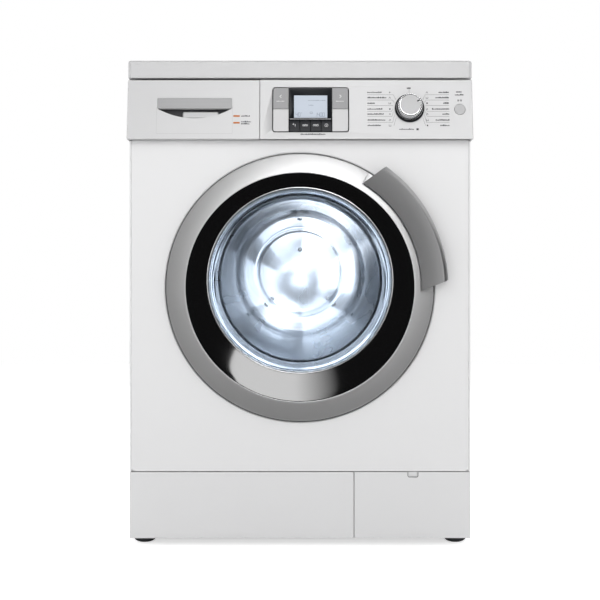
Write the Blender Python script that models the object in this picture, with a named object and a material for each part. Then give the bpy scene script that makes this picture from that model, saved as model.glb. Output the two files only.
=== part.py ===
"""A front-loading washing machine, built as an assembly of separate parts.

Metres, +Z up. The machine faces -Y and stands on Z = 0. The origin is under the middle of its bounding box.
Depths are counted from the face of the front panel: `inward(d)` is the Y of a point d metres behind it.
"""

import math

import bmesh
import bpy
from mathutils import Matrix, Vector

# ---------------------------------------------------------------- driving dimensions
CABINET_WIDTH = 0.598
TOP_WIDTH = 0.600
HEIGHT = 0.848
BODY_DEPTH = 0.550  # face of the front panel to the back wall
FRONT_REACH = 0.048  # the door handle stands this far proud of the front panel
REAR_REACH = 0.022  # the water inlet stands this far proud of the back wall
PANEL_Y = FRONT_REACH - (BODY_DEPTH + FRONT_REACH + REAR_REACH) / 2
REAR_Y = PANEL_Y + BODY_DEPTH

SHEET = 0.0012  # cabinet sheet steel
GAP = 0.0005  # gap between neighbours that don't move
WORKTOP_THICK = 0.031
BASE_Z = 0.012  # underside of the base
PLINTH_TOP = 0.1285
PANEL_BOTTOM = 0.130
PANEL_TOP = 0.7068
RETURN_DEPTH = 0.024  # how far the front panel wraps round the sides
CORNER = 0.010
FRONT_CORNER = 0.006

# control panel: a face raked so that its lower edge stands forward
FASCIA_BOTTOM = 0.708
FASCIA_TOP = 0.813
FASCIA_LOW_REACH = 0.031
FASCIA_TOP_REACH = 0.012
FASCIA_SKIN = 0.003
RAKE = math.atan((FASCIA_LOW_REACH - FASCIA_TOP_REACH) / (FASCIA_TOP - FASCIA_BOTTOM))
FACE_HALF = (FASCIA_TOP - FASCIA_BOTTOM) / 2 / math.cos(RAKE)  # half the raked face's height
SEAM_X = -0.0692  # between the drawer front and the control panel
RECESS = 0.009  # the drawer front sits in a recess this deep

# door
DOOR_Z = 0.452
GLASS_Z = 0.464  # the glass, gasket, tub and drum share this axis
RING_R = 0.233
RING_INNER_R = 0.198
GLASS_R = 0.163
DISH_R = 0.236
DISH_DEPTH = 0.016
PORT_R = 0.184
BOWL_LEAN = 0.165
HINGE_X = -0.222
HINGE_D = -0.008
LATCH_Z = 0.4375
LATCH_X = 0.2115
HANDLE_MID = math.radians(28.6)
HANDLE_HALF = 0.106
HANDLE_FLARE = 0.0055 / 0.045
HANDLE_INNER_R = 0.211
RECESS_ANGLES = (math.radians(-2.0), math.radians(59.2))

# washing unit
TUB_R = 0.250
TUB_WALL = 0.004
TUB_FRONT = 0.096
TUB_SPLIT = 0.2255
TUB_BACK = 0.462
DRUM_R = 0.237
DRUM_SKIN = 0.0012
DRUM_FRONT = 0.112
DRUM_BACK = 0.430
DRUM_MOUTH_R = 0.150
SHAFT_R = 0.015
PULLEY_R = 0.145
PULLEY_D = 0.521
MOTOR_X = 0.060
MOTOR_Z = 0.156
MOTOR_R = 0.050
MOTOR_PULLEY_R = 0.0095
SPRING_X = 0.274
DAMPER_X = 0.236
SUPPORT_D = 0.300  # springs and dampers stand this far behind the front panel

FILTER_X = 0.195
FILTER_Z = 0.070
FOOT_X = 0.2765
FOOT_R = 0.0195
FLAP_X = 0.0947  # seam between the plinth and the service flap

RING_STEPS = 48
DRUM_STEPS = 32

ORIGIN = Vector((0.0, 0.0, 0.0))


def inward(depth):
    """The Y of a point this far behind the face of the front panel."""
    return PANEL_Y + depth


def face_y(z, depth=0.0):
    """The Y of the raked control panel's face at height z, or of a plane this deep behind it."""
    share = (z - FASCIA_BOTTOM) / (FASCIA_TOP - FASCIA_BOTTOM)
    reach = FASCIA_LOW_REACH + (FASCIA_TOP_REACH - FASCIA_LOW_REACH) * share
    return PANEL_Y - reach + depth / math.cos(RAKE)


# ---------------------------------------------------------------- materials
def material(name, colour, roughness, metallic=0.0, transmission=0.0):
    made = bpy.data.materials.new(name)
    made.use_nodes = True
    shader = made.node_tree.nodes["Principled BSDF"]
    shader.inputs["Base Color"].default_value = (*colour, 1.0)
    shader.inputs["Roughness"].default_value = roughness
    shader.inputs["Metallic"].default_value = metallic
    shader.inputs["Transmission Weight"].default_value = transmission
    return made


def make_materials():
    return {
        "white_steel": material("white_steel", (0.80, 0.80, 0.81), 0.35),
        "white_plastic": material("white_plastic", (0.76, 0.76, 0.77), 0.40),
        "silver": material("silver", (0.55, 0.55, 0.56), 0.30, 0.9),
        "black_gloss": material("black_gloss", (0.01, 0.01, 0.01), 0.08),
        "black_keys": material("black_keys", (0.03, 0.032, 0.036), 0.25),
        "grey_keys": material("grey_keys", (0.50, 0.50, 0.50), 0.35),
        "glass": material("glass", (0.95, 0.97, 0.98), 0.02, 0.0, 1.0),
        "stainless": material("stainless", (0.62, 0.63, 0.65), 0.22, 1.0),
        "zinc": material("zinc", (0.48, 0.49, 0.50), 0.45, 1.0),
        "cast_aluminium": material("cast_aluminium", (0.52, 0.53, 0.54), 0.50, 1.0),
        "motor_steel": material("motor_steel", (0.25, 0.25, 0.27), 0.45, 0.8),
        "tub_plastic": material("tub_plastic", (0.42, 0.43, 0.44), 0.55),
        "concrete": material("concrete", (0.45, 0.44, 0.42), 0.90),
        "grey_rubber": material("grey_rubber", (0.30, 0.30, 0.31), 0.65),
        "black_rubber": material("black_rubber", (0.02, 0.02, 0.022), 0.60),
        "blue_plastic": material("blue_plastic", (0.10, 0.20, 0.42), 0.45),
    }


# ---------------------------------------------------------------- modelling helpers
def clear_scene():
    for obj in list(bpy.data.objects):
        bpy.data.objects.remove(obj)


def finish(bm, name, finish_material=None, at=ORIGIN, parent=None, smooth=True, solid=True):
    """Turns a bmesh into a named object whose origin is at `at`, a point in its parent's frame."""
    if solid:
        bmesh.ops.recalc_face_normals(bm, faces=bm.faces)
    mesh = bpy.data.meshes.new(name)
    bm.to_mesh(mesh)
    bm.free()
    mesh.transform(Matrix.Translation(-Vector(at)))
    obj = bpy.data.objects.new(name, mesh)
    bpy.context.scene.collection.objects.link(obj)
    obj.location = at
    obj.parent = parent
    if finish_material:
        mesh.materials.append(finish_material)
    if smooth:
        mesh.shade_smooth()
        mesh.set_sharp_from_angle(angle=math.radians(35))
    return obj


def block(name, low, high, finish_material=None, at=None, parent=None, bevel=0.0):
    """A box between two corners, with its edges bevelled when bevel is above 0."""
    low, high = Vector(low), Vector(high)
    bm = bmesh.new()
    size = Matrix.Diagonal((*(high - low), 1.0))
    bmesh.ops.create_cube(bm, size=1.0, matrix=Matrix.Translation((low + high) / 2) @ size)
    obj = finish(bm, name, finish_material, (low + high) / 2 if at is None else at, parent, False)
    if bevel:
        edge = obj.modifiers.new("edge", "BEVEL")
        edge.width = bevel
        edge.segments = 1
    return obj


def prism(name, outline, low, high, axis, finish_material=None, at=ORIGIN, parent=None):
    """Extrudes a closed outline along X, Y or Z. Its points are the other two coordinates, in X, Y, Z order."""
    places = {"X": (1, 2, 0), "Y": (0, 2, 1), "Z": (0, 1, 2)}[axis]
    bm = bmesh.new()
    corners = []
    for first, second in outline:
        point = [0.0, 0.0, 0.0]
        point[places[0]] = first
        point[places[1]] = second
        point[places[2]] = low
        corners.append(bm.verts.new(point))
    face = bm.faces.new(corners)
    raised = bmesh.ops.extrude_face_region(bm, geom=[face])
    lift = [0.0, 0.0, 0.0]
    lift[places[2]] = high - low
    moved = [v for v in raised["geom"] if isinstance(v, bmesh.types.BMVert)]
    bmesh.ops.translate(bm, vec=lift, verts=moved)
    return finish(bm, name, finish_material, at, parent)


def turned(name, profile, centre, finish_material=None, steps=DRUM_STEPS, axis="Y", parent=None):
    """Spins a closed profile of (radius, distance along the axis) points round an axis through centre."""
    along = Vector((0.0, 1.0, 0.0)) if axis == "Y" else Vector((0.0, 0.0, 1.0))
    across = Vector((1.0, 0.0, 0.0))
    centre = Vector(centre)
    bm = bmesh.new()
    points = [bm.verts.new(centre + across * r + along * d) for r, d in profile]
    edges = [bm.edges.new((a, b)) for a, b in zip(points, points[1:] + points[:1])]
    edges = [e for e in edges if any((v.co - centre).dot(across) > 1e-9 for v in e.verts)]
    bmesh.ops.spin(
        bm, geom=points + edges, cent=centre, axis=along, angle=math.tau, steps=steps, use_merge=True
    )
    bmesh.ops.remove_doubles(bm, verts=bm.verts, dist=1e-6)
    loose = [e for e in bm.edges if not e.link_faces]
    bmesh.ops.delete(bm, geom=loose, context="EDGES")
    return finish(bm, name, finish_material, centre, parent)


def lofted_ring(name, loops, finish_material):
    """A ring whose cross-section is a closed polygon of (radius, depth, centre height) points."""
    bm = bmesh.new()
    rows = []
    for radius, depth, height in loops:
        row = []
        for step in range(RING_STEPS):
            angle = math.tau * step / RING_STEPS
            x, z = radius * math.cos(angle), height + radius * math.sin(angle)
            row.append(bm.verts.new((x, inward(depth), z)))
        rows.append(row)
    for this, following in zip(rows, rows[1:] + rows[:1]):
        for step in range(RING_STEPS):
            after = (step + 1) % RING_STEPS
            bm.faces.new((this[step], this[after], following[after], following[step]))
    return finish(bm, name, finish_material, (HINGE_X, inward(HINGE_D), DOOR_Z))


def folded_sheet(name, path, low, high, thickness, finish_material):
    """Sheet metal folded along an open plan path of (x, y) points and standing between two heights."""
    bm = bmesh.new()
    feet = [bm.verts.new((x, y, low)) for x, y in path]
    heads = [bm.verts.new((x, y, high)) for x, y in path]
    for i in range(len(path) - 1):
        bm.faces.new((feet[i], feet[i + 1], heads[i + 1], heads[i]))
    obj = finish(bm, name, finish_material, solid=False)
    skin = obj.modifiers.new("skin", "SOLIDIFY")
    skin.thickness = thickness
    skin.offset = -1.0
    skin.use_even_offset = True
    return obj


def helper(obj):
    obj.hide_render = True
    obj.display_type = "WIRE"
    return obj


def boolean(target, other, operation):
    step = target.modifiers.new(other.name, "BOOLEAN")
    step.operation = operation
    step.object = helper(other)
    step.solver = "EXACT"
    return target


def cut(target, *cutters):
    for cutter in cutters:
        boolean(target, cutter, "DIFFERENCE")
    return target


def fuse(target, *others):
    for other in others:
        boolean(target, other, "UNION")
    return target


def arc(centre, radius, start, end, steps):
    """Points along an arc, ends included. Angles are in radians, from +first coordinate towards +second."""
    angles = [start + (end - start) * i / steps for i in range(steps + 1)]
    return [(centre[0] + radius * math.cos(a), centre[1] + radius * math.sin(a)) for a in angles]


def rod(name, radius, low, high, at, axis="Y", steps=16, parent=None, finish_material=None):
    """A plain cylinder along Y or Z between two distances from the point `at`."""
    profile = [(0.0, low), (radius, low), (radius, high), (0.0, high)]
    return turned(name, profile, at, finish_material, steps, axis, parent)


# ---------------------------------------------------------------- cabinet
def make_cabinet(m):
    half = CABINET_WIDTH / 2
    start = inward(RETURN_DEPTH + 0.002)
    lip = 0.018
    corner_x, corner_y = half - CORNER, REAR_Y - CORNER
    right = [(half - lip, start), (half, start)]
    right += arc((corner_x, corner_y), CORNER, 0.0, math.pi / 2, 3)
    left = [(-x, y) for x, y in reversed(right)]
    shell = folded_sheet(
        "cabinet_shell", right + left, BASE_Z + 0.002, HEIGHT - WORKTOP_THICK - GAP, SHEET, m["white_steel"]
    )
    for side in (-1, 1):
        inner, outer = side * (half - 0.036), side * (half - SHEET / 2)
        low = (min(inner, outer), inward(SUPPORT_D - 0.008), 0.800)
        high = (max(inner, outer), inward(SUPPORT_D + 0.008), 0.806)
        fuse(shell, block(f"spring_bracket_{side}", low, high))
    for label, x, z, radius in REAR_PORTS:
        cut(shell, rod(f"hole_for_{label}", radius + 0.002, -0.02, 0.02, (x, REAR_Y, z)))
    return shell


REAR_PORTS = (
    ("inlet", -0.220, 0.775, 0.0132),
    ("drain", 0.225, 0.735, 0.0115),
    ("cable", 0.225, 0.785, 0.0090),
)


def make_front_panel(m):
    half = CABINET_WIDTH / 2
    right = [(half, inward(RETURN_DEPTH))]
    right += arc((half - FRONT_CORNER, inward(FRONT_CORNER)), FRONT_CORNER, 0.0, -math.pi / 2, 4)
    left = [(-x, y) for x, y in reversed(right)]
    path = list(reversed(right + left))
    panel = folded_sheet("front_panel", path, PANEL_BOTTOM, PANEL_TOP, SHEET, m["white_steel"])
    opening_r = DISH_R + 0.001
    cut(panel, rod("door_opening", opening_r, -0.01, 0.01, (0, PANEL_Y, DOOR_Z), steps=RING_STEPS))
    skin = 0.002
    dish = [
        (DISH_R, 0.0002),
        (DISH_R + skin, 0.0002),
        (DISH_R + skin, DISH_DEPTH + skin),
        (PORT_R + skin + 0.012, DISH_DEPTH + skin),
        (PORT_R + skin + 0.012, DISH_DEPTH),
        (DISH_R, DISH_DEPTH),
    ]
    low = (LATCH_X - 0.008, inward(0.010), LATCH_Z - 0.011)
    high = (LATCH_X + 0.014, inward(0.022), LATCH_Z + 0.011)
    bowl = turned("dish", dish, (0, PANEL_Y, DOOR_Z), steps=RING_STEPS)
    collar = [
        (PORT_R, DISH_DEPTH + 0.0004),
        (PORT_R + 0.031, DISH_DEPTH + 0.0004),
        (PORT_R + 0.031, DISH_DEPTH + skin - 0.0004),
        (PORT_R + skin, DISH_DEPTH + skin - 0.0004),
        (PORT_R + skin, DISH_DEPTH + 0.016),
        (PORT_R, DISH_DEPTH + 0.016),
    ]
    fuse(bowl, turned("port_collar", collar, (0, PANEL_Y, GLASS_Z), steps=RING_STEPS))
    cut(bowl, block("latch_slot", low, high))
    return fuse(panel, bowl)


def make_worktop(m):
    half = TOP_WIDTH / 2
    low = (-half, inward(-FASCIA_TOP_REACH), HEIGHT - WORKTOP_THICK)
    return block("worktop", low, (half, REAR_Y, HEIGHT), m["white_plastic"], bevel=0.003)


def make_base(m):
    half = CABINET_WIDTH / 2 - SHEET - GAP
    top = BASE_Z + 0.006
    front, back = inward(RETURN_DEPTH + 0.004), REAR_Y - SHEET - GAP
    radius = CORNER - SHEET
    right = [(half, front)] + arc((half - radius, back - radius), radius, 0.0, math.pi / 2, 4)
    outline = right + [(-x, y) for x, y in reversed(right)]
    base = prism("base_tray", outline, BASE_Z, top, "Z", m["zinc"])
    for label, x, y in FEET:
        fuse(base, rod(f"boss_{label}", 0.013, BASE_Z + 0.002, top + 0.012, (x, y, 0), "Z"))
        cut(base, rod(f"thread_{label}", 0.0046, 0.0, 0.05, (x, y, 0), "Z", steps=12))
    return base


FEET = tuple(
    (f"{row}_{side}", x, y)
    for row, y in (("front", inward(0.042)), ("rear", REAR_Y - 0.045))
    for side, x in (("left", -FOOT_X), ("right", FOOT_X))
)


def make_feet(m):
    pad_top = BASE_Z - 0.0025
    profile = [
        (0.0, 0.0),
        (FOOT_R * 0.60, 0.0),
        (FOOT_R * 0.86, pad_top * 0.26),
        (FOOT_R, pad_top * 0.62),
        (FOOT_R, pad_top),
        (0.004, pad_top),
        (0.004, 0.040),
        (0.0, 0.040),
    ]
    for label, x, y in FEET:
        turned(f"foot_{label}", profile, (x, y, 0), m["black_rubber"], 20, "Z")


def make_plinth(m):
    half = CABINET_WIDTH / 2
    wall = 0.0025
    depth = RETURN_DEPTH
    setback = 0.005  # the frame behind the service flap
    plinth = block(
        "plinth", (-half, PANEL_Y, BASE_Z), (half, inward(depth), PLINTH_TOP), m["white_plastic"], bevel=0.002
    )
    low_z, high_z = BASE_Z + wall, PLINTH_TOP - wall
    hollow_left = block(
        "hollow_left", (-half + wall, inward(wall), low_z), (FLAP_X - 0.003, inward(depth + 0.01), high_z)
    )
    hollow_right = block(
        "hollow_right",
        (FLAP_X, inward(setback + wall), low_z),
        (half - wall, inward(depth + 0.01), high_z),
    )
    seat = block(
        "flap_seat", (FLAP_X, inward(-0.01), BASE_Z - 0.01), (half + 0.01, inward(setback), PLINTH_TOP + 0.01)
    )
    reach = block(
        "filter_access",
        (FILTER_X - 0.066, inward(0.0), 0.030),
        (FILTER_X + 0.066, inward(0.015), 0.110),
    )
    return cut(plinth, hollow_left, hollow_right, seat, reach)


def make_service_flap(m):
    half = CABINET_WIDTH / 2
    thick = 0.004
    pivot = ((FLAP_X + half) / 2, inward(thick / 2), BASE_Z + 0.002)
    flap = block(
        "service_flap",
        (FLAP_X + 0.0008, PANEL_Y, BASE_Z + 0.0005),
        (half, inward(thick), PLINTH_TOP),
        m["white_plastic"],
        at=pivot,
        bevel=0.001,
    )
    notch_x = 0.198
    low = (notch_x - 0.010, inward(-0.01), PLINTH_TOP - 0.009)
    return cut(flap, block("finger_notch", low, (notch_x + 0.010, inward(0.0028), PLINTH_TOP + 0.01)))


# ---------------------------------------------------------------- control panel
def make_fascia_frame():
    """The frame of the raked face: local X along it, local Z up it, local Y straight into it."""
    frame = bpy.data.objects.new("fascia_frame", None)
    bpy.context.scene.collection.objects.link(frame)
    middle = (FASCIA_BOTTOM + FASCIA_TOP) / 2
    frame.location = (0, face_y(middle), middle)
    frame.rotation_euler = (-RAKE, 0, 0)
    return frame


DISPLAY = {"low_x": -0.0478, "high_x": 0.0848, "half_z": 0.0406}
LCD = {"low_x": -0.0101, "high_x": 0.0472, "low_z": -0.0127, "high_z": 0.0273}
KEYWELL_X = (-0.0196, 0.0558)  # inner edges of the two side columns of keys
KEY_ROW_TOP = -0.0185
WELL_DEPTH = 0.009
DIAL = {"x": 0.190, "z": 0.0018, "base_r": 0.026, "face_r": 0.0195, "height": 0.022}
START = {"x": 0.2777, "z": 0.0004, "r": 0.0096}
TRAY = {"low_x": -0.272, "high_x": -0.088, "low_z": 0.729, "high_z": 0.792, "back": 0.262}


def make_fascia(m, frame):
    half = TOP_WIDTH / 2
    skin = FASCIA_SKIN
    outline = [
        (face_y(FASCIA_BOTTOM), FASCIA_BOTTOM),
        (face_y(FASCIA_TOP), FASCIA_TOP),
        (inward(RETURN_DEPTH), FASCIA_TOP),
        (inward(RETURN_DEPTH), FASCIA_BOTTOM),
    ]
    fascia = prism("fascia", outline, -half, half, "X", m["white_plastic"])

    def hollow(name, low_x, high_x, depth):
        low, high = FASCIA_BOTTOM + skin, FASCIA_TOP - skin
        back = inward(RETURN_DEPTH + 0.01)
        shape = [(face_y(low, depth), low), (face_y(high, depth), high), (back, high), (back, low)]
        return prism(name, shape, low_x, high_x, "X")

    cut(fascia, hollow("hollow_behind_drawer", -half + skin, SEAM_X - skin, RECESS + skin))
    cut(fascia, hollow("hollow_behind_controls", SEAM_X + skin, half - skin, skin))
    edge = FACE_HALF + 0.01
    seat = block("drawer_seat", (-half - 0.01, -0.02, -edge), (SEAM_X, RECESS, edge), parent=frame)
    mouth = block(
        "tray_mouth", (TRAY["low_x"] - 0.005, 0.0, -0.037), (TRAY["high_x"] + 0.005, 0.03, 0.037), parent=frame
    )
    window = block(
        "display_window",
        (DISPLAY["low_x"] - GAP, -0.01, -DISPLAY["half_z"] - GAP),
        (DISPLAY["high_x"] + GAP, 0.01, DISPLAY["half_z"] + GAP),
        parent=frame,
    )
    spindle = rod("spindle_hole", 0.0045, -0.01, 0.01, (DIAL["x"], 0, DIAL["z"]), steps=12, parent=frame)
    button = rod("start_hole", START["r"] + GAP, -0.01, 0.01, (START["x"], 0, START["z"]),
                 steps=20, parent=frame)
    return cut(fascia, seat, mouth, window, spindle, button)


def make_display(m, frame):
    """The black display block, with wells for its keys and a bevelled window down to the screen."""
    corner = 0.005
    half_z = DISPLAY["half_z"]
    outline = []
    for x, z, start in (
        (DISPLAY["high_x"] - corner, half_z - corner, 0.0),
        (DISPLAY["low_x"] + corner, half_z - corner, math.pi / 2),
        (DISPLAY["low_x"] + corner, -half_z + corner, math.pi),
        (DISPLAY["high_x"] - corner, -half_z + corner, 3 * math.pi / 2),
    ):
        outline += arc((x, z), corner, start, start + math.pi / 2, 3)
    display = prism("display_module", outline, 0.0, 0.016, "Y", m["black_gloss"], parent=frame)
    rim = 0.0011
    wells = (
        ("well_left", DISPLAY["low_x"] + rim, KEYWELL_X[0], -half_z + rim, half_z - rim),
        ("well_right", KEYWELL_X[1], DISPLAY["high_x"] - rim, -half_z + rim, half_z - rim),
        ("well_row", KEYWELL_X[0] + 0.0008, KEYWELL_X[1] - 0.0008, -half_z + rim, KEY_ROW_TOP),
    )
    for name, low_x, high_x, low_z, high_z in wells:
        cut(display, block(name, (low_x, -0.01, low_z), (high_x, WELL_DEPTH, high_z), parent=frame))
    near, far = -0.001, 0.006
    mouth = (LCD["low_x"] - 0.0087, LCD["high_x"] + 0.0087, LCD["low_z"] - 0.0032, LCD["high_z"] + 0.0100)
    floor = (LCD["low_x"], LCD["high_x"], LCD["low_z"], LCD["high_z"])
    bm = bmesh.new()
    rows = []
    for (low_x, high_x, low_z, high_z), y in ((mouth, near), (floor, far)):
        corners = ((low_x, y, low_z), (high_x, y, low_z), (high_x, y, high_z), (low_x, y, high_z))
        rows.append([bm.verts.new(p) for p in corners])
    bm.faces.new(rows[0])
    bm.faces.new(rows[1])
    for i in range(4):
        j = (i + 1) % 4
        bm.faces.new((rows[0][i], rows[0][j], rows[1][j], rows[1][i]))
    return cut(display, finish(bm, "screen_bevel", parent=frame, smooth=False))


def make_keys(m, frame):
    """Four silver keys beside the screen, four black keys under it and the round start button."""
    half_z, rim, slack = DISPLAY["half_z"], 0.0011, 0.0004
    split = 0.0011  # height of the line between the upper and the lower side keys
    columns = (
        ("left", DISPLAY["low_x"] + rim + slack, KEYWELL_X[0] - slack),
        ("right", KEYWELL_X[1] + slack, DISPLAY["high_x"] - rim - slack),
    )
    rows = (
        ("upper", split + slack, half_z - rim - slack),
        ("lower", -half_z + rim + slack, split - slack),
    )
    proud, thick = 0.0006, 0.0045
    for side, low_x, high_x in columns:
        for level, low_z, high_z in rows:
            name = f"key_{level}_{side}"
            block(name, (low_x, -proud, low_z), (high_x, thick, high_z), m["grey_keys"],
                  parent=frame, bevel=0.0006)
    row_low, row_high = KEYWELL_X[0] + 0.0008, KEYWELL_X[1] - 0.0008
    pitch = (row_high - row_low) / 4
    for i, name in enumerate(("key_temperature", "key_spin", "key_soil", "key_clear")):
        low = (row_low + i * pitch + slack, -proud, -half_z + rim + slack)
        high = (row_low + (i + 1) * pitch - slack, thick, KEY_ROW_TOP - slack)
        block(name, low, high, m["black_keys"], parent=frame, bevel=0.0006)
    radius, flange = START["r"], START["r"] + 0.002
    button = [(0.0, -0.001), (radius, -0.001), (radius, 0.0036), (flange, 0.0036), (flange, 0.006), (0.0, 0.006)]
    turned("key_start", button, (START["x"], 0, START["z"]), m["grey_keys"], 20, parent=frame)


def make_dial(m, frame):
    base_r, face_r, height = DIAL["base_r"], DIAL["face_r"], DIAL["height"]
    profile = [
        (0.0, 0.016),
        (0.0035, 0.016),
        (0.0035, -0.001),
        (base_r, -0.001),
        (base_r, -0.004),
        (face_r + 0.0035, -0.006),
        (face_r + 0.0010, -height + 0.002),
        (face_r - 0.0010, -height),
        (0.0, -height),
    ]
    turned("programme_dial", profile, (DIAL["x"], 0, DIAL["z"]), m["silver"], 28, parent=frame)


# ---------------------------------------------------------------- detergent drawer
GRIP = {"low_x": -0.248, "high_x": -0.118, "low_z": 0.0015, "high_z": 0.0208, "sag": 0.0172}


def make_drawer(m, frame):
    half = TOP_WIDTH / 2
    plate = 0.006
    edge = FACE_HALF - 0.0004
    pocket_depth = 0.024
    front = block(
        "drawer_front", (-half, 0, -edge), (SEAM_X - 0.0008, plate, edge), m["white_plastic"], parent=frame
    )
    low_x, high_x = GRIP["low_x"], GRIP["high_x"]
    fuse(
        front,
        block("pocket_body", (low_x - 0.004, 0.002, -0.020), (high_x + 0.004, pocket_depth, 0.027), parent=frame),
        block("grip_bar", (low_x, -0.0012, GRIP["low_z"]), (high_x, 0.003, GRIP["high_z"]), parent=frame),
    )
    middle, half_chord, sag = (low_x + high_x) / 2, (high_x - low_x) / 2 - 0.001, GRIP["sag"]
    radius = (half_chord**2 + sag**2) / (2 * sag)
    top = GRIP["low_z"] + 0.0004
    spread = math.asin(half_chord / radius)
    curve = arc((middle, top - sag + radius), radius, -math.pi / 2 - spread, -math.pi / 2 + spread, 12)
    scoop = prism("finger_scoop", curve, -0.01, pocket_depth - 0.003, "Y", parent=frame)
    low = (low_x + 0.004, plate + 0.001, -0.004)
    high = (high_x - 0.004, pocket_depth - 0.0031, GRIP["high_z"] - 0.003)
    cut(front, scoop, block("finger_space", low, high, parent=frame))

    low_z, high_z, back = TRAY["low_z"], TRAY["high_z"], inward(TRAY["back"])
    stand_off = pocket_depth + 0.0005
    outline = [
        (face_y(low_z, stand_off), low_z),
        (face_y(high_z, stand_off), high_z),
        (back, high_z),
        (back, low_z),
    ]
    tray = prism("drawer_tray", outline, TRAY["low_x"], TRAY["high_x"], "X", m["white_plastic"])
    wall, cells = 0.0025, 3
    pitch = (TRAY["high_x"] - TRAY["low_x"] - wall) / cells
    for i in range(cells):
        left = TRAY["low_x"] + wall + i * pitch
        low = (left, inward(0.014), low_z + wall)
        cut(tray, block(f"compartment_{i}", low, (left + pitch - wall, back - wall, high_z + 0.01)))
    return tray


def make_dispenser_housing(m):
    slack, wall = 0.003, 0.003
    low_x, high_x = TRAY["low_x"] - slack, TRAY["high_x"] + slack
    low_z, high_z = TRAY["low_z"] - 0.002, TRAY["high_z"] + 0.005
    front, back = inward(RETURN_DEPTH + 0.005), inward(TRAY["back"] + 0.012)
    housing = block(
        "dispenser_housing",
        (low_x - wall, front, low_z - wall),
        (high_x + wall, back + wall, high_z + wall),
        m["white_plastic"],
    )
    cut(housing, block("tray_bay", (low_x, front - 0.01, low_z), (high_x, back, high_z)))
    spout = rod("spout", 0.018, -0.028, 0.001, (-0.195, inward(0.235), low_z - wall), "Z")
    return fuse(housing, spout)


# ---------------------------------------------------------------- door
def make_door(m):
    pivot = (HINGE_X, inward(HINGE_D), DOOR_Z)
    wall = 0.003
    frame = lofted_ring(
        "door_frame",
        [
            (r, d, DOOR_Z)
            for r, d in (
                (RING_INNER_R, -0.027),
                (RING_R, -0.015),
                (RING_R, 0.010),
                (RING_R - wall, 0.010),
                (RING_R - wall, -0.0128),
                (RING_INNER_R + wall, -0.0235),
                (RING_INNER_R + wall, -0.005),
                (RING_INNER_R, -0.005),
            )
        ],
        m["silver"],
    )
    inner, outer = HANDLE_INNER_R - 0.003, RING_R + 0.01
    start, end = RECESS_ANGLES
    sector = arc((0, DOOR_Z), outer, start, end, 8) + arc((0, DOOR_Z), inner, end, start, 8)
    cut(frame, prism("handle_recess", sector, inward(-0.035), inward(-0.006), "Y"))
    low = (-RING_R - 0.01, inward(-0.0115), DOOR_Z - 0.036)
    high = (-RING_R + 0.006, inward(0.02), DOOR_Z + 0.036)
    cut(frame, block("hinge_relief", low, high))

    lofted_ring(
        "door_bezel",
        [
            (RING_INNER_R - GAP, -0.0262, DOOR_Z),
            (GLASS_R, -0.0090, GLASS_Z),
            (GLASS_R, -0.0050, GLASS_Z),
            (RING_INNER_R - GAP, -0.0215, DOOR_Z),
        ],
        m["black_gloss"],
    )

    back = lofted_ring(
        "door_inner_frame",
        [
            (RING_R - wall - GAP, 0.0045, DOOR_Z),
            (RING_R - wall - GAP, 0.0105, DOOR_Z),
            (0.1605, 0.0105, GLASS_Z),
            (0.1605, 0.0045, GLASS_Z),
        ],
        m["white_plastic"],
    )
    reach = 0.0335
    for side in (-1, 1):
        ends = sorted((DOOR_Z + side * 0.0195, DOOR_Z + side * (reach - 0.001)))
        low = (HINGE_X - 0.005, inward(-0.0125), ends[0])
        high = (HINGE_X + 0.007, inward(0.007), ends[1])
        fuse(back, block(f"knuckle_{side}", low, high))
    low = (HINGE_X - 0.012, inward(0.0), DOOR_Z - 0.0192)
    high = (HINGE_X + 0.034, inward(0.015), DOOR_Z + 0.0192)
    cut(back, block("arm_relief", low, high))
    cut(back, rod("pin_bore", 0.0034, -0.04, 0.04, pivot, "Z", steps=12))
    low = (LATCH_X - 0.0085, inward(0.0), LATCH_Z - 0.0095)
    cut(back, block("hook_slot", low, (LATCH_X + 0.0125, inward(0.015), LATCH_Z + 0.0095)))

    bowl = [
        (0.0, 0.1180),
        (0.060, 0.1170),
        (0.098, 0.1120),
        (0.114, 0.1020),
        (0.150, 0.0040),
        (0.158, -0.0040),
        (0.1680, -0.0040),
        (0.1680, 0.0020),
        (0.1595, 0.0036),
        (0.1560, 0.0100),
        (0.121, 0.1060),
        (0.104, 0.1180),
        (0.062, 0.1235),
        (0.0, 0.1245),
    ]
    glass = turned("door_glass", bowl, (0, PANEL_Y, GLASS_Z), m["glass"], 40)
    lean_upward(glass)


def lean_upward(glass):
    """Slants the bowl, so that its far end sits higher than its rim and throws the load back down."""
    for vertex in glass.data.vertices:
        vertex.co.z += BOWL_LEAN * max(0.0, vertex.co.y - 0.008)


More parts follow.
